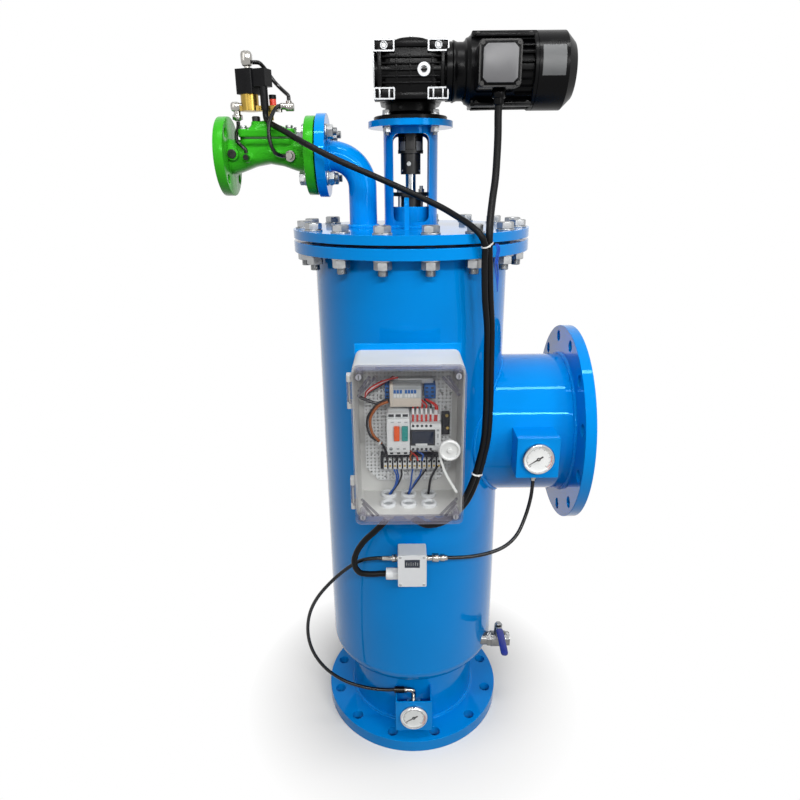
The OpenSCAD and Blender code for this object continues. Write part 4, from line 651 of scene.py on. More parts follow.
# Bare cast faces of the two jaws that show in the window: grey, dull and grainy
jaw_iron = noisy_finish("bare_cast_iron", "#5E5F60", "#747576", 6, 1.2, 0.06, (0.35, 0.5), metallic=0.4)
for side in (-1, 1):
    jaw_face = [(side * r * math.sin(math.radians(a)), -r * math.cos(math.radians(a)))
                for r, turn in ((26.7, range(26, 59, 8)), (24, range(58, 25, -8))) for a in turn]
    coupling.prism(jaw_iron, jaw_face, Matrix.Translation((0, 0, 1411)), 18)
coupling.done("coupling_screws", "drive", "zinc_steel")


# Gearbox: a worm gearbox of die-cast aluminium in black enamel. Its four corner pads and the
# rims of their pockets are milled bright, ribs cool the front, and the output neck stands on
# the lantern's top plate.
def front(x, y, z):
    """Place of an outline drawn in X and Z, with its depth towards the front."""
    return Matrix(((1, 0, 0, x), (0, 0, -1, y), (0, 1, 0, z), (0, 0, 0, 1)))


def ring_outline(radius, x=0.0, y=0.0, count=24):
    return [(x + radius * c, y + radius * s) for c, s in round_steps(count)]


def rounded(w, h, r, n=4):
    """Rectangle with round corners, centred."""
    points = []
    for k, (sx, sy) in enumerate(((1, 1), (-1, 1), (-1, -1), (1, -1))):
        for i in range(n + 1):
            a = math.radians(90 * k + 90 * i / n)
            points.append((sx * (w / 2 - r) + r * math.cos(a), sy * (h / 2 - r) + r * math.sin(a)))
    return points


# Stove enamel on a casting: black, half gloss, with the fine pebble of the cast skin
black_enamel = noisy_finish("black_stove_enamel", "#040405", "#09090A", 50, 2.2, 0.12, (0.22, 0.34),
                            shine=0.09)
# Milled aluminium: bright and a little streaky
milled = noisy_finish("milled_aluminium", "#8E9092", "#B4B5B6", 6, 0.9, 0.03, (0.4, 0.55), metallic=1.0)
# Height of the motor's axis, where the gearbox is measured from, and how far it lies in front
worm_z, axis_y = 1549, -63
gearbox = Shape((0, 0, worm_z))
gearbox.prism(black_enamel, rounded(124, 162, 24, 6), Matrix.Translation((0, -15, -50)), 100, 3)
gearbox.turned(black_enamel, (0, 0, -67), up, [(0, 50), (2, 52), (119, 52), (123, 48)], 56)
gearbox.turned(black_enamel, (0, 0, -82), up, [(0, 75), (1, 76), (8, 76), (9, 75), (9, 57), (15, 49)], 64)
gearbox.turned(black_enamel, (-72, axis_y, 0), to_right, [
    (0, 20), (0, 28), (2, 31), (4, 33), (151, 33)], 48)
# Motor flange on the right, with its four bolts
gearbox.turned(black_enamel, (66, axis_y, 0), to_right, [(0, 50), (1.5, 52), (11, 52), (13, 50)], 56)
for c, s in round_steps(4, 45):
    gearbox.hexagon(zinc, (66, axis_y + 44 * c, 44 * s), (-1, 0, 0), 10, 6)
pad_y = -98
for sx in (-1, 1):
    for sz in (-1, 1):
        x, z = 51 * sx, 40.5 * sz
        gearbox.block(black_enamel, (x - 20, pad_y - 0.4, z - 10.5), (x + 20, -62, z + 10.5), 1)
        gearbox.prism(milled, rounded(40, 21, 2), front(x, pad_y, z), 4, holes=[rounded(34.6, 15.6, 1)])
        if sz > 0:
            gearbox.turned(milled, (x, pad_y, z), to_front, [
                (0, 7.2), (3.5, 7.2), (4, 6.7), (4, 5.8), (1.4, 5.6)], 28)
            gearbox.turned(zinc, (x, pad_y, z), to_front, [
                (0, 4.2), (3.2, 4.2), (3.8, 3.6), (3.8, 2.2), (2.6, 2)], 24)
        for bar in (-9, 9) if sz < 0 else ():
            gearbox.block(milled, (x + bar - 1.5, -101.8, z - 8), (x + bar + 1.5, -97, z + 8), 0.3)
    gearbox.block(black_enamel, (60 * sx - 4, -100, -42), (60 * sx + 4, -56, 42), 1.5)
    gearbox.block(milled, (70.4 * sx - 0.8, -101, -28), (70.4 * sx + 0.8, -60, 28), 0.4)
# Cooling ribs across the front, and three upright ones
for k in range(-2, 3):
    gearbox.block(black_enamel, (-55, -100.5, 11 * k - 1.6), (55, -90, 11 * k + 1.6), 0.8)
for x in (-28, -2, 40):
    gearbox.block(black_enamel, (x - 2, -99, -26), (x + 2, -90, 26), 0.8)
# Bars between the pads, and the arched lug of the top bar with its breather screw
for z in (-44, 44):
    gearbox.block(black_enamel, (-31, -100, z - 6), (31, -62, z + 6), 1.5)
arch = [(-30, 0), *((30 * math.cos(math.radians(180 - 15 * k)), 1 + 6 * math.sin(math.radians(15 * k)))
                    for k in range(13)), (30, 0)]
gearbox.prism(black_enamel, arch, front(0, -64, 47.5), 32, 1)
gearbox.turned(zinc, (0, -89, 52), up, [(0, 4.6), (3.4, 4.6), (4, 4), (4, 2.2), (3, 2)], 24)
# Oil plug with a hexagon socket, and two screws of the output cover
gearbox.turned(milled, (24, -93, 0), to_front, [(0, 12.5), (8.4, 12.5), (9, 11.6), (9, 6.4), (6, 5.6)], 40)
gearbox.hexagon(black_oxide, (24, -98.6, 0), to_front, 9.6, 0.9)
for x in (-20, 20):
    gearbox.turned(black_oxide, (x, -46, -59), to_front, [
        (0, 3.6), (3.2, 3.6), (3.8, 3), (3.8, 1.6), (2.4, 1.4)], 20)
gearbox.done("worm_gearbox", "vessel", "black_enamel", "gearbox_housing", "fasteners")
# Cast bronze: warm yellow-brown metal with a slightly rough skin
bronze = noisy_finish("cast_bronze", "#8F6C2C", "#B58E45", 12, 1.5, 0.06, (0.3, 0.45), metallic=1.0)
refined("worm_wheel", bronze, "bronze", "drive", 0.3)

# Motor: a small fan-cooled motor. The finned frame and its neck are die-cast, the terminal
# box is screwed to its front and the pressed cowl covers the fan.
motor = Shape((0, axis_y, worm_z))
motor.turned(black_enamel, (79, 0, 0), to_right, [
    (0, 54), (2.5, 54), (5, 52.5), (9, 51), (20, 51), (23, 53), (25, 57), (30, 59), (32, 61), (148, 61),
    (148, 67.5), (149.5, 69), (155, 69), (156, 68)], 72)
# Flat mounting pads above and below, with their screws, and the screws of the cowl
for z in (-58, 58):
    motor.block(black_enamel, (113, -34, z - 6), (234, 34, z + 6), 2)
    motor.block(black_enamel, (120, -40, z - 5), (228, 40, z + 1), 1)
    for x in (124, 222):
        motor.turned(black_oxide, (x, -33, z), to_front, [(0, 4.4), (3, 4.4), (3.6, 3.6)], 18)
for angle in (30, 150, 210, 330):
    a = math.radians(angle)
    motor.turned(zinc, (224, 65 * math.sin(a), 65 * math.cos(a)), to_right, [(0, 3), (4, 3)], 16)
motor.done("motor_casing", "vessel", "black_enamel", "motor_frame")
# Cooling fins: long ones round the frame, short ones beside the terminal box
fin_tree, given = geometry_tree("motor_fins", Long="Vector", Finish="Material")
fin = add(fin_tree, "GeometryNodeMeshCube", {"Size": given["Long"]})
fin_aim = add(fin_tree, "FunctionNodeAlignRotationToVector", {
    "Vector": add(fin_tree, "GeometryNodeInputNormal").outputs[0]}, axis="Z")
fin_aim_along = add(fin_tree, "FunctionNodeAlignRotationToVector", {
    "Rotation": fin_aim.outputs[0], "Vector": (1.0, 0.0, 0.0)}, axis="X", pivot_axis="Z")
fin_row = add(fin_tree, "GeometryNodeInstanceOnPoints", {
    "Points": given["Geometry"], "Instance": fin.outputs[0], "Rotation": fin_aim_along.outputs[0]})
close_tree(fin_tree, fin_row.outputs[0], given["Finish"])


def spots_with_normals(name, spots):
    """Seed mesh of small faces, so that each spot carries the way it faces."""
    points, faces, face_r = [], [], 0.01
    for place, facing in spots:
        normal = Vector(facing).normalized()
        side = normal.orthogonal().normalized()
        faces.append(range(len(points), len(points) + 3))
        points += [(Vector(place) + face_r * (side * c + normal.cross(side) * s)) * MM
                   for c, s in round_steps(3)]
    mesh = bpy.data.meshes.new(name)
    mesh.from_pydata(points, [], [tuple(face) for face in faces])
    return mesh


fin_count, fin_r, box_side = 28, 62, 0.55
fins, short_fins = [], []
for c, s in round_steps(fin_count, 180 / fin_count):
    behind_box = c >= box_side
    (short_fins if behind_box else fins).append(
        ((211 if behind_box else 172, axis_y - fin_r * c, worm_z - fin_r * s), (0, -c, -s)))
for name, rows, length in (("motor_fins", fins, 110), ("motor_short_fins", short_fins, 32)):
    fin_piece = grown(name, fin_tree, spots_with_normals(name, rows), {
        "Long": (length * MM, 2.6 * MM, 10 * MM), "Finish": black_enamel}, "vessel", "black_enamel")
    fin_piece.data.set_sharp_from_angle(angle=math.radians(30))

# Terminal box, measured from the middle of its lid
four_corners = [(sx, sz) for sx in (-1, 1) for sz in (-1, 1)]
terminal = Shape((155, 0, worm_z - 5))
terminal.prism(black_enamel, rounded(74, 74, 6), front(0, -110, 0), 68, 1.2)
terminal.prism(black_enamel, rounded(66, 66, 8), front(0, -93, 0), 20)
terminal.prism(black_enamel, rounded(76, 76, 7), front(0, -179, 0), 7, 1.5)
lid_panel = [(25, 33), (-25, 33), (-33, 25), (-33, -25), (-25, -33), (25, -33), (33, -25), (33, 25)]
# Lid panel: the same enamel in a paler grey
lid_grey = noisy_finish("grey_enamel", "#58585A", "#666668", 40, 2.2, 0.05, (0.34, 0.46))
terminal.prism(black_enamel, lid_panel, front(0, -185, 0), 4.2, 1.2)
# Thin paler rim round the lid in black oxide: painted highlight along the box's front edge
terminal.prism(black_oxide, rounded(75, 75, 7), front(0, -185.8, 0), 0.4, holes=[rounded(70, 70, 5)])
terminal.prism(lid_grey, [(0.93 * u, 0.93 * v) for u, v in lid_panel], front(0, -189, 0), 1, 0.4)
for sx, sz in four_corners:
    terminal.turned(black_oxide, (32 * sx, -185, 32 * sz), to_front, [
        (0, 4.4), (2.2, 4.4), (3, 3.6), (3, 0.8), (1.4, 0.8)], 20)
terminal.hexagon(black_enamel, (3, -160, -53), up, 22, 16)
terminal.turned(black_enamel, (3, -160, -65), up, [(0, 7.5), (1.5, 9), (4, 9.5), (12, 9.5)], 28)
terminal.done("motor_terminal_box", "vessel", "black_enamel", "terminal_box")
refined("fan_cowl", black_enamel, "black_enamel", edge=4)
# Bare aluminium plate, bent round the cowl: dull grey
plate_grey = noisy_finish("dull_anodised_aluminium", "#444647", "#525354", 30, 1.0, 0.02, (0.4, 0.55))
bare_plate = Shape((0, axis_y, worm_z))
bare_plate.skin(plate_grey, [
    [(x, -r * math.cos(math.radians(a)), r * math.sin(math.radians(a)))
     for r, x in ((69.1, 241), (69.7, 241), (69.7, 284), (69.1, 284))] for a in range(-14, 31, 4)])
bare_plate.done("motor_blank_plate", "vessel", "black_enamel")
# Turned steel: plain grey metal with a soft gleam
rotor_steel = noisy_finish("turned_rotor_steel", "#77787A", "#95969A", 20, 1.0, 0.03, (0.3, 0.4),
                           metallic=1.0)
refined("rotor", rotor_steel, "rotor_steel", "motor_rotor", 0.4)
# Moulded fan: dull black nylon
fan_plastic = noisy_finish("black_fan_nylon", "#1C1C1D", "#2A2A2B", 20, 1.5, 0.06, (0.4, 0.55))
refined("cooling_fan", fan_plastic, "black_plastic", "motor_rotor", 0.4)


# Flush valve: a diaphragm valve cast in iron and coated in green enamel, with a bonnet bolted
# over the diaphragm. The cast forms run softly into each other.
def cast(shape, name, voxel, passes, body, slot, *replaced):
    """Joins the forms of a shape into one skin with soft inner corners, as a casting has."""
    rough = pattern(name + "_pattern", shape.mesh(name + "_pattern"))
    skin = rough.modifiers.new("one_skin", "REMESH")
    skin.mode = "VOXEL"
    skin.voxel_size = voxel * MM
    soft = rough.modifiers.new("soft_corners", "SMOOTH")
    soft.factor = 0.5
    soft.iterations = passes
    mesh = bpy.data.meshes.new_from_object(rough.evaluated_get(bpy.context.evaluated_depsgraph_get()))
    mesh.name = name
    bpy.data.objects.remove(rough)
    mesh.materials.clear()
    mesh.materials.append(shape.materials[0])
    mesh.polygons.foreach_set("material_index", [0] * len(mesh.polygons))
    mesh.polygons.foreach_set("use_smooth", [True] * len(mesh.polygons))
    fitted(name, mesh, body, slot, *replaced)


# Epoxy coat on cast iron: bright green, thick and glossy over a pebbled skin
green_enamel = noisy_finish("green_epoxy_coat", "#249412", "#3DB026", 60, 5, 0.35, (0.18, 0.3), shine=0.35,
                            sheen="#7CD070")
valve_x = -296
casting = Shape()
# Barrel: half width, top and bottom of its squared sections from end to end
barrel = []
for x, half, top, low in (
        (-379, 35, 35, -34), (-366, 34, 34, -34), (-350, 33, 33, -29), (-325, 33, 32, -20),
        (-296, 34, 31, -15), (-267, 33, 32, -20), (-242, 33, 33, -29), (-226, 34, 34, -33),
        (-213, 35, 35, -35)):
    barrel.append([(x, half * math.copysign(abs(c) ** 0.8, c),
                    flush_z + (top if s > 0 else -low) * math.copysign(abs(s) ** 0.8, s))
                   for c, s in round_steps(40)])
casting.skin(green_enamel, barrel)
casting.prism(green_enamel, rounded(116, 68, 20), Matrix.Translation((valve_x, 0, 1425)), 11)
casting.prism(green_enamel, rounded(92, 44, 14), Matrix.Translation((valve_x, 0, 1400)), 30)
casting.block(green_enamel, (-377, -30, 1395), (-354, 30, 1427))
for x, z in ((-337, 1400), (-248, 1402)):
    casting.turned(green_enamel, (x, 0, z), to_front, [(0, 9.5), (35.5, 9.5)], 24)
casting.turned(green_enamel, (-366, 0, 1407), to_front, [(0, 13), (43.5, 13)], 28)
cast(casting, "flush_valve_casting", 1.8, 8, "vessel", "green_enamel", "valve_body")
valve_flanges = Shape()
bolt_holes = [ring_outline(9, flush_bolt_r * c, flush_bolt_r * s, 20) for c, s in round_steps(4, 45)]
for x, bore in ((-396, [ring_outline(25, count=40)]), (-216, [])):
    facing_right = Matrix(((0, 0, 1, x), (1, 0, 0, 0), (0, 1, 0, flush_z), (0, 0, 0, 1)))
    valve_flanges.prism(green_enamel, ring_outline(78, count=72), facing_right, 20, 1.6, bolt_holes + bore)
valve_flanges.turned(black_oxide, (-366, -43.5, 1407), to_front, [
    (0, 9), (2.6, 9), (3.5, 8), (3.5, 4), (2, 3.6)], 28)
valve_flanges.done("flush_valve_flanges", "vessel", "green_enamel", "valve_body")
# The edge of the diaphragm took the coat when the valve was sprayed
coated_rubber = noisy_finish("coated_diaphragm_rubber", "#0C3A08", "#155010", 30, 1.2, 0.1, (0.4, 0.6))
refined("valve_diaphragm", coated_rubber, "rubber")
bonnet = Shape()
bonnet.prism(green_enamel, rounded(116, 68, 20), Matrix.Translation((valve_x, 0, 1439)), 14)
# Dome: height and half width of its arched sections from left to right
dome_z = 1440
bonnet.skin(green_enamel, [
    [(x, half * 0.94 * (u - 0.5) * 2, dome_z + (height - dome_z) * (1 - abs(2 * u - 1) ** 2.4))
     for u in (k / 12 for k in range(13))]
    for x, height, half in (
        (-350, 1447, 26), (-340, 1457, 26), (-330, 1464, 25), (-318, 1470, 23), (-305, 1473, 21),
        (-290, 1471, 20), (-275, 1465, 21), (-262, 1460, 23), (-250, 1455, 25), (-242, 1446, 25))])
bonnet.turned(green_enamel, (-320, 0, 1446), up, [(0, 13), (22, 11), (25, 10)], 28)
bonnet_bolts = Shape()
for sx, sy in four_corners:
    x, y = valve_x + 47 * sx, 23 * sy
    bonnet.turned(green_enamel, (x, y, 1439), up, [(0, 11), (16, 11)], 24)
    bonnet_bolts.turned(zinc, (x, y, 1454), up, [(0, 9.5), (1.6, 9.5)], 24)
    bonnet_bolts.hexagon(zinc, (x, y, 1455.4), up, 13, 6)
cast(bonnet, "flush_valve_bonnet", 1.6, 6, "vessel", "green_enamel", "valve_bonnet")
bonnet_bolts.turned(black_oxide, (-320, 0, 1471), up, [(0, 8.5), (8, 8.5), (9.5, 7)], 28)
bonnet_bolts.done("bonnet_bolts", "vessel", "zinc_steel", "valve_bonnet")

# Pilot: a brass two-way pilot with its solenoid coil, plug connector, red override knob and
# nickel plated elbows, joined to the valve by short black tubes.
# Machined brass: yellow metal, cleanly cut
brass = noisy_finish("machined_brass", "#8F7430", "#B59A50", 30, 0.8, 0.01, (0.24, 0.34), metallic=1.0)
refined("pilot_manifold", brass, "brass", edge=1)
# Moulded coil: black nylon with a dull skin
coil_plastic = noisy_finish("black_coil_nylon", "#08080A", "#101012", 20, 1.4, 0.08, (0.3, 0.44), shine=0.12)
refined("pilot_coil", coil_plastic, "black_plastic", edge=1.6)
# Nickel plate: bright, warm grey metal
nickel = noisy_finish("nickel_plated_brass", "#8E8C88", "#B5B2AC", 10, 0.8, 0.02, (0.12, 0.24), metallic=1.0)
fitting = Shape()
# Elbow and union nut on the left of the pilot
fitting.block(nickel, (-370, -10, 1489), (-350, 10, 1508), 6)
fitting.turned(nickel, (-352, 0, 1498), to_right, [(0, 8.4), (7, 8.4)], 28)
fitting.turned(nickel, (-358, 0, 1483), up, [(0, 7.2), (8, 7.2)], 28)
fitting.hexagon(nickel, (-358, 0, 1474), up, 18, 10, 0.3)
fitting.turned(nickel, (-358, 0, 1472), up, [(0, 6), (2.4, 7.4)], 28)
# Elbow on the coil
fitting.turned(nickel, (-330, 0, 1567), up, [(0, 7), (2, 7), (2.6, 5.8), (7, 5.8)], 28)
fitting.block(nickel, (-341, -11, 1572), (-319, 11, 1601), 7)
# Swept elbow with its knurled nut on the right
fitting.tube(nickel, spline([(-271, 0, 1488), (-270.5, 0, 1494), (-266, 0, 1498.5), (-258, 0, 1498.5),
                             (-249, 0, 1497)], 6), 6.6, 20)
fitting.turned(nickel, (-257, 0, 1497.5), to_right, [(0, 7.6), (1.2, 8.4), (15.5, 8.4), (17, 7.4)], 14)
fitting.turned(nickel, (-250, 0, 1497), up, [(0, 6), (12, 6)], 24)
# Ports of the valve body
fitting.turned(hose_nylon, (-337, -35, 1400), to_front, [(0, 5.4), (16.4, 5.4), (17, 4.8)], 24)
fitting.turned(nickel, (-248, -34, 1402), to_front, [
    (0, 11), (4, 11), (5, 10), (5, 7.6), (16.4, 7.6), (18, 6.4)], 28)
# Unions of the pressure switch
switch_y, switch_z = -262.5, 588
fitting.turned(nickel, (-68, switch_y, switch_z), to_right, [(0, 4.6), (1, 5), (33.5, 5)], 24)
fitting.hexagon(nickel, (-47, switch_y, switch_z), to_right, 14, 10)
fitting.turned(nickel, (26.5, switch_y, switch_z), to_right, [(0, 6), (44, 6), (45.5, 5)], 24)
fitting.hexagon(nickel, (39, switch_y, switch_z), to_right, 17, 14)
fitting.hexagon(nickel, (56, switch_y, switch_z), to_right, 14, 10)
# Pipes to the gauges: a bent one below and a straight one on the right
pipe_y, bend_z, outlet_gauge_x = -185, 153, 262
fitting.tube(nickel, spline([(x, pipe_y, z) for x, z in (
    (-48, bend_z), (-20, bend_z), (-6, 152), (-0.5, 147), (0, 132), (0, 110))], 5), 5.6, 20)
fitting.turned(hose_nylon, (-48, pipe_y, bend_z), to_right, [(0, 6.8), (1.2, 8), (24, 8), (25, 7)], 28)
fitting.hexagon(nickel, (-23, pipe_y, bend_z), to_right, 13, 7)
fitting.tube(nickel, [(outlet_gauge_x, pipe_y, z) for z in (733, 793)], 5.8, 20)
fitting.hexagon(nickel, (outlet_gauge_x, pipe_y, 738), up, 15, 12)
fitting.done("pilot_fittings", "vessel", "nickel", "hose_fittings")
refined("pilot_tubes", hose_nylon, "black_plastic")
# Moulded knob: bright red, half gloss, with a black button on top
knob_red = noisy_finish("red_knob_plastic", "#C2301C", "#DE4A32", 10, 1.0, 0.05, (0.25, 0.38))
knob = refined("pilot_knob", knob_red, "knob_red", "override", 0.8)
knob.data.materials.append(coil_plastic)
knob_top, button_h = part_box("pilot_knob")[1][2], 8 * MM
for face in knob.data.polygons:
    if face.center.z > knob_top - button_h:
        face.material_index = 1

# Inside the vessel: the screen stands on its seat and the suction scanner turns with the shaft
# inside it. Both are welded from stainless steel.
refined("screen_basket", ground_steel, "stainless")
refined("scanner", ground_steel, "stainless", "drive")

# Control box: a moulded grey tray on the bracket with a perforated galvanised plate inside.
# Every device on the plate stands on a rail or on screws.
# Glass-filled polycarbonate: light cool grey, satin
box_grey = noisy_finish("light_grey_polycarbonate", "#C6C7C4", "#D5D5D2", 70, 1.6, 0.05, (0.32, 0.44))
refined("box_base", box_grey, "grey_plastic", edge=1.4)
# Hot-dip galvanised sheet: pale grey spangle
galvanised = noisy_finish("galvanised_sheet", "#D6D9D9", "#E9EAEA", 9, 1.2, 0.03, (0.34, 0.5), metallic=0.1)
# Everything in the box is measured from its middle, with the plate's face at plate_y
box_middle, plate_y = Vector((-11, 0, 899)), -275
plate_pitch, plate_hole_r = 7.3, 1.9
plate_low, plate_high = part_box("box_backplate")
plate_t = (plate_high[1] - plate_low[1]) / MM
plate_w, plate_h = plate_high[0] - plate_low[0], plate_high[2] - plate_low[2]
plate_columns, plate_rows = (round(length / MM / plate_pitch) for length in (plate_w, plate_h))
tile, half = Vector((plate_w / plate_columns, 0, plate_h / plate_rows)), 0.5 / MM
tile_shape = Shape()
tile_shape.prism(None, [(tile.x * u * half, tile.z * v * half) for u, v in (
    (-1, -1), (0, -1), (1, -1), (1, 0), (1, 1), (0, 1), (-1, 1), (-1, 0))], front(0, 0, 0), plate_t,
    holes=[ring_outline(plate_hole_r, count=10)])
tile_form = pattern("plate_tile", tile_shape.mesh("plate_tile"))
plate_tree, given = geometry_tree("perforated_plate", Tile="Object", Finish="Material")
tile_given = add(plate_tree, "GeometryNodeObjectInfo", {"Object": given["Tile"]})
tiles = add(plate_tree, "GeometryNodeInstanceOnPoints", {
    "Points": given["Geometry"], "Instance": tile_given.outputs["Geometry"]})
close_tree(plate_tree, tiles.outputs[0], given["Finish"])
plate_spots = bpy.data.meshes.new("plate_spots")
plate_spots.from_pydata([(plate_low[0] + tile.x * (i + 0.5), plate_low[1] + plate_t * MM,
                          plate_low[2] + tile.z * (k + 0.5))
                         for i in range(plate_columns) for k in range(plate_rows)], [], [])
plate = grown("perforated_plate", plate_tree, plate_spots, {"Tile": tile_form, "Finish": galvanised},
              "vessel", "galvanised", "box_backplate")
bpy.data.objects.remove(tile_form)
# Both lower corners are cut off at a slant
plate_cut = bmesh.new()
plate_cut.from_mesh(plate.data)
bmesh.ops.remove_doubles(plate_cut, verts=plate_cut.verts[:], dist=1e-6)
for side in (-1, 1):
    bmesh.ops.bisect_plane(plate_cut, geom=plate_cut.verts[:] + plate_cut.edges[:] + plate_cut.faces[:],
                           plane_co=(box_middle + Vector((67 * side, 0, -110))) * MM,
                           plane_no=(side * 0.74, 0, -0.67), clear_outer=True)
plate_cut.to_mesh(plate.data)
plate_cut.free()
plate.data.set_sharp_from_angle(angle=math.radians(30))

# Motor starter: a moulded circuit breaker with the stop and start buttons in its front and
# a row of clamp screws above and below.
# Moulded device cases: satin nylon in white, mid grey and near black
device_white = noisy_finish("white_device_nylon", "#CFD2D2", "#DEE0E0", 30, 1.2, 0.04, (0.34, 0.46))
device_grey = noisy_finish("grey_device_nylon", "#8E9394", "#A2A6A7", 30, 1.2, 0.04, (0.36, 0.5))
device_dark = noisy_finish("dark_device_nylon", "#17191B", "#24272A", 20, 1.2, 0.04, (0.3, 0.45))
starter = Shape(box_middle)
pockets = [[(x + u, v + 5) for u, v in rounded(w, 29, 0.8, 2)] for x, w in ((-3, 11), (12, 12))]
starter.prism(device_white, rounded(42, 83, 2), front(-19, plate_y, 7), 52, 1)
starter.prism(device_white, rounded(42, 66, 1.5), front(-19, -327, 7), 18, 0.8, holes=pockets)
for z, clamp in ((-30.5, 3), (44.5, 5)):
    starter.block(device_white, (-39.5, -338, z - 4), (1.5, -326, z + 4), 0.8)
    for x in (-32, -19, -6):
        starter.block(device_dark, (x - clamp, -338.4, z - 2.6), (x + clamp, -337.6, z + 2.8), 0.3)
# Setting dial, and small test openings above and below the buttons
starter.turned(device_grey, (-33, -345, -19), to_front, [(0, 3.6), (1.2, 3.2)], 24)
starter.block(device_dark, (-35.6, -346.6, -19.5), (-30.4, -346, -18.5))
for x in (-20, -8):
    starter.block(device_grey, (x - 2.6, -345.5, -20.5), (x + 2.6, -345, -17.5), 0.2)
for x in (-30, -17, -5):
    starter.block(device_grey, (x - 3, -345.4, 33), (x + 3, -345, 35), 0.1)
starter.done("motor_starter_case", "vessel", "grey_plastic", "motor_starter")
# Buttons: bright moulded caps
stop_orange = noisy_finish("orange_button_plastic", "#D24A14", "#E8622A", 8, 0.8, 0.03, (0.25, 0.36))
refined("stop_button", stop_orange, "stop_orange", "stop", 0.6)
start_teal = noisy_finish("teal_button_plastic", "#1C7C77", "#2A948D", 8, 0.8, 0.03, (0.25, 0.36))
refined("start_button", start_teal, "start_teal", "start", 0.6)

# Controller, relay and terminals: the controller has a dark display, the relay above it sits
# under a clear cap between two blue terminal blocks, and white terminals line the bottom rail.
# Display: smooth dark glass that mirrors the room
display_glass = noisy_finish("dark_display_glass", "#101A28", "#182538", 20, 2, 0.0, (0.06, 0.12))
# Relay cap and its card: pale and glossy over a matt beige print
relay_clear = noisy_finish("pale_relay_cap", "#AEB2B2", "#C4C7C7", 12, 2, 0.0, (0.12, 0.2))
relay_beige = noisy_finish("beige_relay_card", "#B9B0A4", "#CCC3B7", 12, 2, 0.0, (0.4, 0.5))
# Blue terminal nylon: satin, a little grainy
terminal_blue = noisy_finish("blue_terminal_nylon", "#17508F", "#2266AE", 8, 1, 0.04, (0.34, 0.46))
# Yellow zinc: small bright screws that read as brass
screw_steel = noisy_finish("yellow_zinc_screw", "#A98F4C", "#C9B277", 3, 0.6, 0.02, (0.25, 0.4), metallic=1.0)
relays = Shape(box_middle)
controller_y, relay_y = -337, -319.8
relays.prism(device_white, rounded(57, 78, 2), front(32, plate_y, 0), 40, 0.8)
relays.prism(device_white, rounded(57, 53, 2), front(32, -315, 0), 22, 1.2)
relays.prism(device_dark, rounded(46, 32, 1.5), front(26.5, controller_y, 0.3), 1.2, 0.4)
relays.prism(display_glass, rounded(40, 25, 1), front(26.5, controller_y - 1.2, 0.3), 0.6, 0.2)
relays.prism(device_white, rounded(11, 40, 1), front(55, controller_y, 2), 1.6, 0.4)
relays.prism(device_white, rounded(22, 6.5, 0.6), front(24, controller_y - 1.2, -14.6), 1.2, 0.3)
for z, w, h in ((15, 5, 4), (4, 2.4, 8), (-12, 4.4, 3)):
    relays.block(device_grey, (54.6 - w / 2, -338.9, z - h / 2), (54.6 + w / 2, -338.5, z + h / 2))
lead_holes = [8.5 + 8.2 * k for k in range(5)]
for z in (23.4, -23.4):
    for x in lead_holes:
        relays.prism(device_dark, ring_outline(2.6, count=16), front(x, -336.9, z), 0.3)
# Dark contact block at the right with two brass screws
relays.block(device_dark, (65, -290, -13.6), (80, plate_y, 30.4), 0.8)
for x, z in ((74.3, 26), (75.9, 0.3)):
    relays.turned(screw_steel, (x, -290, z), to_front, [(0, 3), (1.6, 3)], 18)
# Pale rail behind the relay, its socket, clear cap and card
relays.block(device_white, (-27, -290, 91), (47.6, plate_y, 101), 0.6)
relays.block(device_grey, (-35, -296, 53.5), (25.5, plate_y, 97.5), 0.8)
relays.block(relay_clear, (-34, -320, 55), (24.5, -296, 96), 2)
relays.block(relay_beige, (-28, -320.5, 55.5), (23.5, relay_y, 72), 0.2)
relays.block(relay_beige, (-34.5, -321, 55), (-28.6, -300, 99), 0.6)
relays.block(device_grey, (-28, -320.5, 89.5), (23.5, relay_y, 95.5), 0.2)
for k in range(7):
    x = -25 + 5.6 * k + (4 if k > 2 else 0)
    relays.block(device_white, (x - 2.2, -320.8, 73.4), (x + 2.2, relay_y, 80), 0.2)
    relays.block(terminal_blue, (x - 2.2, -320.8, 81.6), (x + 2.2, relay_y, 88.4), 0.2)
# Dark strip along the top of the plate: painted shadow of the lid's top wall
relays.block(device_dark, (-62, -279, 117), (66, plate_y, 121), 0.4)
# Blue blocks on both sides of the relay, with one and two rows of contacts
for low, high, rows in ((-43.7, -35, 1), (30.6, 51.7, 2)):
    relays.block(terminal_blue, (low, -305, 66), (high, plate_y, 92), 0.6)
    for k in range(rows):
        x = low + 4.4 + 10.4 * k
        for z in (71, 79, 87):
            relays.block(device_dark, (x - 2.6, -305.3, z - 1.6), (x + 2.6, -304.7, z + 1.6), 0.2)
relays.done("control_devices", "vessel", "terminal_plastic", "control_relays")
strip = Shape(box_middle)
strip.block(device_dark, (-55, -297, -83), (69, plate_y, -55), 0.8)
for k in range(12):
    x = 7 + 9.5 * (k - 5.5)
    strip.block(device_white, (x - 3.2, -305, -80), (x + 3.2, -297, -58), 0.5)
    strip.block(device_dark, (x - 2.2, -305.4, -66), (x + 2.2, -304.8, -61), 0.1)
    strip.turned(screw_steel, (x, -305, -73), to_front, [(0, 2.2), (0.7, 2.2)], 14)
strip.done("terminal_row", "vessel", "black_plastic", "terminal_strip")

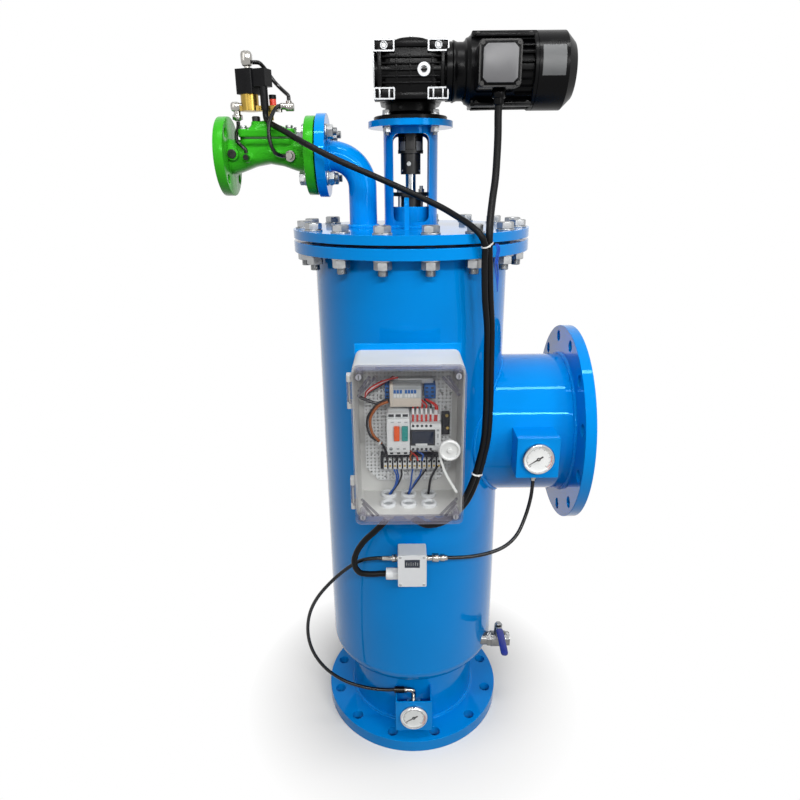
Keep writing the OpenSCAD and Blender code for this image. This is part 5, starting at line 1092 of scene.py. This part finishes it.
# Wires: soft stranded copper leads in PVC run between the devices and the glands. White sleeves
# are crimped on the ends above the controller, and a tie binds the loop on the left.
# Wire PVC: plain strong colours with a soft gleam
wire_black, wire_red, wire_blue, wire_brown, wire_white = (
    noisy_finish(name + "_wire_pvc", dark, light, 20, 1, 0.03, (0.3, 0.42)) for name, dark, light in (
        ("black", "#111112", "#1B1B1C"), ("red", "#B3221A", "#C93429"), ("blue", "#1D4E9C", "#2A62B8"),
        ("brown", "#8A4A1C", "#A85E28"), ("white", "#D4D6D6", "#E6E7E7")))
wires = Shape(box_middle)
# Each lead: its radius, its depth at both ends, and where it runs on the plate
leads = [
    (wire_black, 3.2, (-306, -306), ((-92, 71), (-76, 63), (-58, 58), (-37, 66))),
    (wire_black, 2.4, (-318, -316), ((-36, 67), (-60, 56), (-77, 31), (-73, -2), (-52, -20), (-43, -40),
                                     (-41, -58))),
    (wire_brown, 2.7, (-321, -318), ((-38, 66), (-57, 56), (-71.5, 32), (-68, 2), (-51, -19))),
    (wire_blue, 1.8, (-318, -318), ((6, -31), (16, -34), (27, -32), (36, -35))),
    (wire_blue, 1.7, (-316, -312), ((12, -33), (20, -40), (28, -46), (26, -58))),
    (wire_red, 1.6, (-316, -312), ((3, -36), (10, -44), (16, -50), (18, -58))),
    (wire_brown, 1.7, (-317, -312), ((5, -32), (6, -42), (3, -50), (4, -58))),
    (wire_black, 2.2, (-318, -312), ((36, -31), (45, -36), (49, -46), (42, -58))),
    (wire_black, 1.9, (-318, -312), ((-22, -34), (-20, -44), (-24, -50), (-24, -58))),
    (wire_black, 1.9, (-318, -312), ((-8, -34), (-9, -42), (-14, -50), (-13, -58))),
    (wire_blue, 1.7, (-306, -288), ((-28, -81), (-24, -98), (-26, -118), (-37, -143))),
    (wire_blue, 1.7, (-306, -287), ((-23, -81), (-20, -100), (-25, -120), (-39, -143))),
    (wire_black, 1.9, (-306, -286), ((-14, -81), (-14, -98), (-21, -118), (-36, -143))),
    (wire_blue, 1.7, (-306, -288), ((8, -81), (6, -100), (4, -120), (0, -143))),
    (wire_blue, 1.7, (-306, -287), ((25, -81), (22, -97), (11, -118), (1, -143))),
    (wire_black, 1.9, (-306, -286), ((34, -81), (24, -100), (12, -121), (-2, -143))),
    (wire_black, 2.5, (-306, -287), ((56, -74), (49, -92), (43, -112), (40, -143)))]
for shift, material in ((0, wire_red), (3.2, wire_white), (6, wire_red), (-3, wire_black)):
    leads.append((material, 1.6, (-300 - shift, -296), (
        (-25 + shift, 108), (-50, 93 + shift), (-74 - shift / 2, 78 + shift / 2), (-84 + shift / 3, 64))))
for k, x in enumerate(lead_holes):
    leads.append((wire_red, 2.0, (-326, -322), ((x, 28), (x, 33), (x, 37), (x, 41))))
    leads.append((wire_red if k < 4 else wire_black, 1.6, (-322, -308), (
        (x, 52), (x + 1, 57), (x + 3 - 2 * k, 61), (x - 3 * k, 66))))
    wires.turned(wire_white, (x, -322, 40), up, [(0, 2.3), (12.5, 2.1)], 12)
for shift in (0, 3.4):
    leads.append((wire_red, 1.6, (-322, -306), (
        (49 + shift, 24), (50 + shift, 38), (50 + shift, 54), (30 + shift, 66))))
    wires.turned(wire_white, (50 + shift, -316, 38), up, [(0, 2.1), (9, 2.1)], 12)
for material, thick, (start_y, end_y), route in leads:
    last = len(route) - 1
    bowed = [(x, start_y + (end_y - start_y) * k / last + 1.5 * math.sin(1.7 * k), z)
             for k, (x, z) in enumerate(route)]
    wires.tube(material, spline(bowed, 6), thick, 8)
wires.turned(wire_white, (-55, -319, -17), (0.8, 0, -0.6), [(-1.6, 5.4), (1.6, 5.4)], 16)
wires.done("box_wires", "vessel", "black_plastic")

# Glands and lid: white nylon glands close the bottom of the tray, the clear lid hangs on the
# left hinges and four screws hold its corners. A round cap with a strap closes its access hole.
# Gland nylon: clean white, satin
white_nylon = noisy_finish("white_gland_nylon", "#D3D6D8", "#E5E7E8", 20, 1.2, 0.04, (0.34, 0.46))
glands = Shape(box_middle)
for x in (-40, 0, 40):
    for y in (-287, -327):
        glands.turned(white_nylon, (x, y, -175), up, [(0, 7.5), (1.5, 9.5), (4, 11.5), (16, 11.5)], 32)
        glands.hexagon(white_nylon, (x, y, -159), up, 24, 10)
        glands.turned(white_nylon, (x, y, -146.5), up, [
            (0, 9.5), (0, 15.5), (4.5, 15.5), (6.4, 14), (6.4, 10.6), (5, 9.5), (0, 9.5)], 36)
        glands.turned(device_grey, (x, y, -154), up, [(0, 9.6), (9, 9.6)], 32)
glands.done("cable_glands", "vessel", "white_plastic", "box_glands")


def clear_plastic(name, tint, cover):
    """Clear moulded plastic: a glossy skin that hides the given share of what is behind it."""
    made, tree = empty_material(name)
    waves = add(tree, "ShaderNodeTexNoise", {
        "Vector": add(tree, "ShaderNodeTexCoord").outputs["Object"], "Scale": 12.0, "Detail": 1.0})
    share = add(tree, "ShaderNodeMapRange", {
        "Value": waves.outputs["Fac"], "To Min": 0.85 * cover, "To Max": 1.15 * cover})
    shader = add(tree, "ShaderNodeBsdfPrincipled", {
        "Base Color": colour(tint), "Roughness": 0.08, "Alpha": share.outputs[0], "Specular IOR Level": 0.4})
    add(tree, "ShaderNodeOutputMaterial", {"Surface": shader.outputs[0]})
    return made


# The face of the lid is almost clear, and its walls look denser because they are seen edge on
lid_face = clear_plastic("smoky_clear_polycarbonate", "#4A4854", 0.06)
lid_wall = clear_plastic("smoky_polycarbonate_wall", "#9A97A8", 0.4)
lid = refined("box_lid", lid_face, "clear_lid", "lid")
lid.data.materials.append(lid_wall)
for face in lid.data.polygons:
    if abs(face.normal.y) < 0.9:
        face.material_index = 1
# Gussets: the lid's own plastic, dark where it is thick
gusset_smoke = clear_plastic("smoky_gusset_polycarbonate", "#4E4B5C", 0.4)
gussets = Shape(box_middle)
for sx, sz in four_corners:
    for inset in (0, 9):
        gussets.tube(gusset_smoke, [(sx * (88 - 0.2 * inset), -388.5, sz * (100 + inset)),
                                    (sx * (58 + inset), -388.5, sz * (134 + 0.2 * inset))], 2.6, 8)
gussets.done("lid_gussets", "lid", "clear_lid")
# Cap and screws: matt white and mid grey mouldings
cap_white = noisy_finish("white_cap_plastic", "#C6C8C7", "#D6D7D6", 10, 1, 0.04, (0.36, 0.5))
screw_grey = noisy_finish("grey_screw_nylon", "#8C8D93", "#A2A3A9", 8, 1, 0.04, (0.3, 0.45))
fittings = Shape(box_middle)
for sx, sz in four_corners:
    x, z = 86 * sx, 136 * sz
    fittings.turned(screw_grey, (x, -389, z), to_front, [(0, 5.2), (4.6, 5.2), (5, 4.8)], 24)
    fittings.block(device_dark, (x - 0.8, -394.3, z - 4), (x + 0.8, -393.7, z + 4))
fittings.turned(cap_white, (72, -395, 1), to_front, [
    (0, 19), (6.6, 19), (8, 18), (8, 15.6), (4.6, 14.6), (4.6, 4.8), (7.4, 4.4), (8, 3.6)], 48)
strap_half, strap_back, strap_front = 2.2, -395.2, -396.8
strap = spline([(54, 0, -1), (57, 0, -19.4), (67.6, 0, -49), (86.5, 0, -83.6)], 6)
sections = []
for before, spot, after in zip([strap[0]] + strap, strap, strap[1:] + [strap[-1]]):
    run = (after - before).normalized()
    side = Vector((run.z, 0, -run.x)) * strap_half
    sections.append([spot + side * s + Vector((0, y, 0)) for s, y in (
        (-1, strap_back), (1, strap_back), (1, strap_front), (-1, strap_front))])
fittings.skin(cap_white, sections)
fittings.done("lid_screws_and_cap", "lid", "white_plastic", "lid_fittings")

# Pressure switch: a die-cast case in pale powder coat, fixed in front of the vessel. Its lid has
# a black scale window and four screws, and a gland takes its cable.
# Powder coat: pale cool grey, matt, with a fine texture
switch_paint = noisy_finish("pale_grey_powder_coat", "#D4D7DA", "#E3E5E7", 30, 1.1, 0.08, (0.36, 0.5))
refined("pressure_switch", switch_paint, "grey_plastic", edge=1.6)
switch_front = Shape((-4, 0, switch_z))
switch_front.prism(display_glass, rounded(34, 21, 1), front(0, -283.4, 0), 1, 0.3)
for k in range(6):
    x = -12 + 4.6 * k
    switch_front.block(device_white, (x, -284.6, -5), (x + 0.6, -284.2, 4 - 2 * (k % 2)))
for x in (-25, 25):
    for z in (-52, 16):
        switch_front.turned(zinc, (x, -284.5, z), to_front, [(0, 3), (1.4, 3), (1.8, 2.4)], 18)
switch_front.turned(white_nylon, (-56.5, switch_y, -39), to_right, [(0, 11), (2, 13.2), (14, 13.2)], 28)
switch_front.done("switch_front", "vessel", "grey_plastic")

# Gauges: pressed stainless cases with a rolled bezel, a white printed dial and a flat glass,
# screwed to the pipes in front of the two necks.
# Polished stainless: bright, with a clear mirror
stainless = noisy_finish("polished_stainless_steel", "#B4B6B8", "#D6D7D8", 20, 0.7, 0.01, (0.1, 0.2),
                         metallic=1.0)
# Dial: matt white enamel, printed in black and faded red under plain glass
dial_white = noisy_finish("white_dial_enamel", "#DDE0DF", "#EBECEB", 20, 2, 0.0, (0.5, 0.6))
dial_black = noisy_finish("black_dial_ink", "#161616", "#202020", 10, 1, 0.0, (0.5, 0.6))
dial_red = noisy_finish("red_dial_ink", "#C4544A", "#D8746A", 10, 1, 0.0, (0.5, 0.6))
gauge_glass = clear_plastic("gauge_glass", "#FFFFFF", 0.02)
# The dial lies just behind the needle and the glass just before it
needle_low, needle_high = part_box("inlet_needle")
dial_y, glass_y = needle_high[1] / MM + 0.5, needle_low[1] / MM - 0.6
gauges, dials = Shape(), Shape()
for x, z in ((0, 103), (outlet_gauge_x, outlet_z)):
    gauges.turned(stainless, (x, -220, z), (0, 1, 0), [(-1, 29), (0, 31), (28, 31), (30, 29)], 56)
    gauges.turned(stainless, (x, -219, z), to_front, [
        (0, 30), (0, 33.5), (1, 34.5), (5, 34.5), (8.5, 33.2), (9.9, 31.6), (9.6, 30), (5, 29.6), (4.5, 30.4),
        (0, 30)], 64)
    gauges.block(stainless, (x - 7, -192, z - 7), (x + 7, -176, z + 7), 0.6)
    dials.turned(dial_white, (x, dial_y + 1, z), to_front, [(0, 30.4), (1, 30.4)], 56)
    # Ticks of the scale, longer at the main steps, and the red arc
    marks = []
    for k in range(41):
        tick = 5.2 if k % 8 == 0 else 3.6 if k % 4 == 0 else 2.2
        marks.append((dial_black, 225 - 6.75 * k, (26 - tick, -0.25, -0.4), (26, 0, 0.4)))
    marks += [(dial_red, 15 - 3 * k, (26.6, -0.2, -0.75), (28.2, 0, 0.75)) for k in range(20)]
    for ink, angle, low, high in marks:
        place = Matrix.Translation((x, dial_y, z)) @ Matrix.Rotation(-math.radians(angle), 4, "Y")
        dials.block(ink, low, high, 0, place)
    dials.turned(gauge_glass, (x, glass_y, z), to_front, [(0, 30), (1, 30)], 48)
gauges.done("gauge_bodies", "vessel", "stainless", "gauge_cases")
dials.done("gauge_dials", "vessel", "stainless", "gauge_cases")
refined("inlet_needle", dial_black, "black_plastic", "inlet_pointer")
refined("outlet_needle", dial_black, "black_plastic", "outlet_pointer")

# Drain valve: a turned steel ball valve screwed into the bottom head. The pressed lever wears
# a dark blue vinyl sleeve and is held on the stem by a nut.
# Nickelled steel: dull grey metal, cloudy
valve_steel = noisy_finish("dull_nickel_steel", "#6A6B6C", "#8B8B8A", 8, 1.0, 0.05, (0.28, 0.42),
                           metallic=1.0)
refined("drain_valve", valve_steel, "stainless", edge=0.8)
# Dipped vinyl: dark blue, soft and half matt
lever_vinyl = noisy_finish("dark_blue_vinyl", "#18246E", "#24338F", 12, 1.4, 0.06, (0.3, 0.44))
lever = Shape((218.37, -105, 280))
lever.turned(zinc, (0, 0, 0), up, [(0, 10), (3, 10)], 32)
lever.block(zinc, (-8, -60, 0), (8, -4, 3), 0.6)
lever.prism(lever_vinyl, rounded(17, 90, 7.4), Matrix.Translation((0, -61, -2)), 7, 1.6)
lever.hexagon(zinc, (0, 0, 3), up, 13, 5)
lever.turned(zinc, (0, 0, -40), up, [(8, 6), (40, 6), (40, 4.8), (49, 4.8)], 24)
lever.done("drain_lever_sleeve", "drain_handle", "lever_blue", "drain_lever")
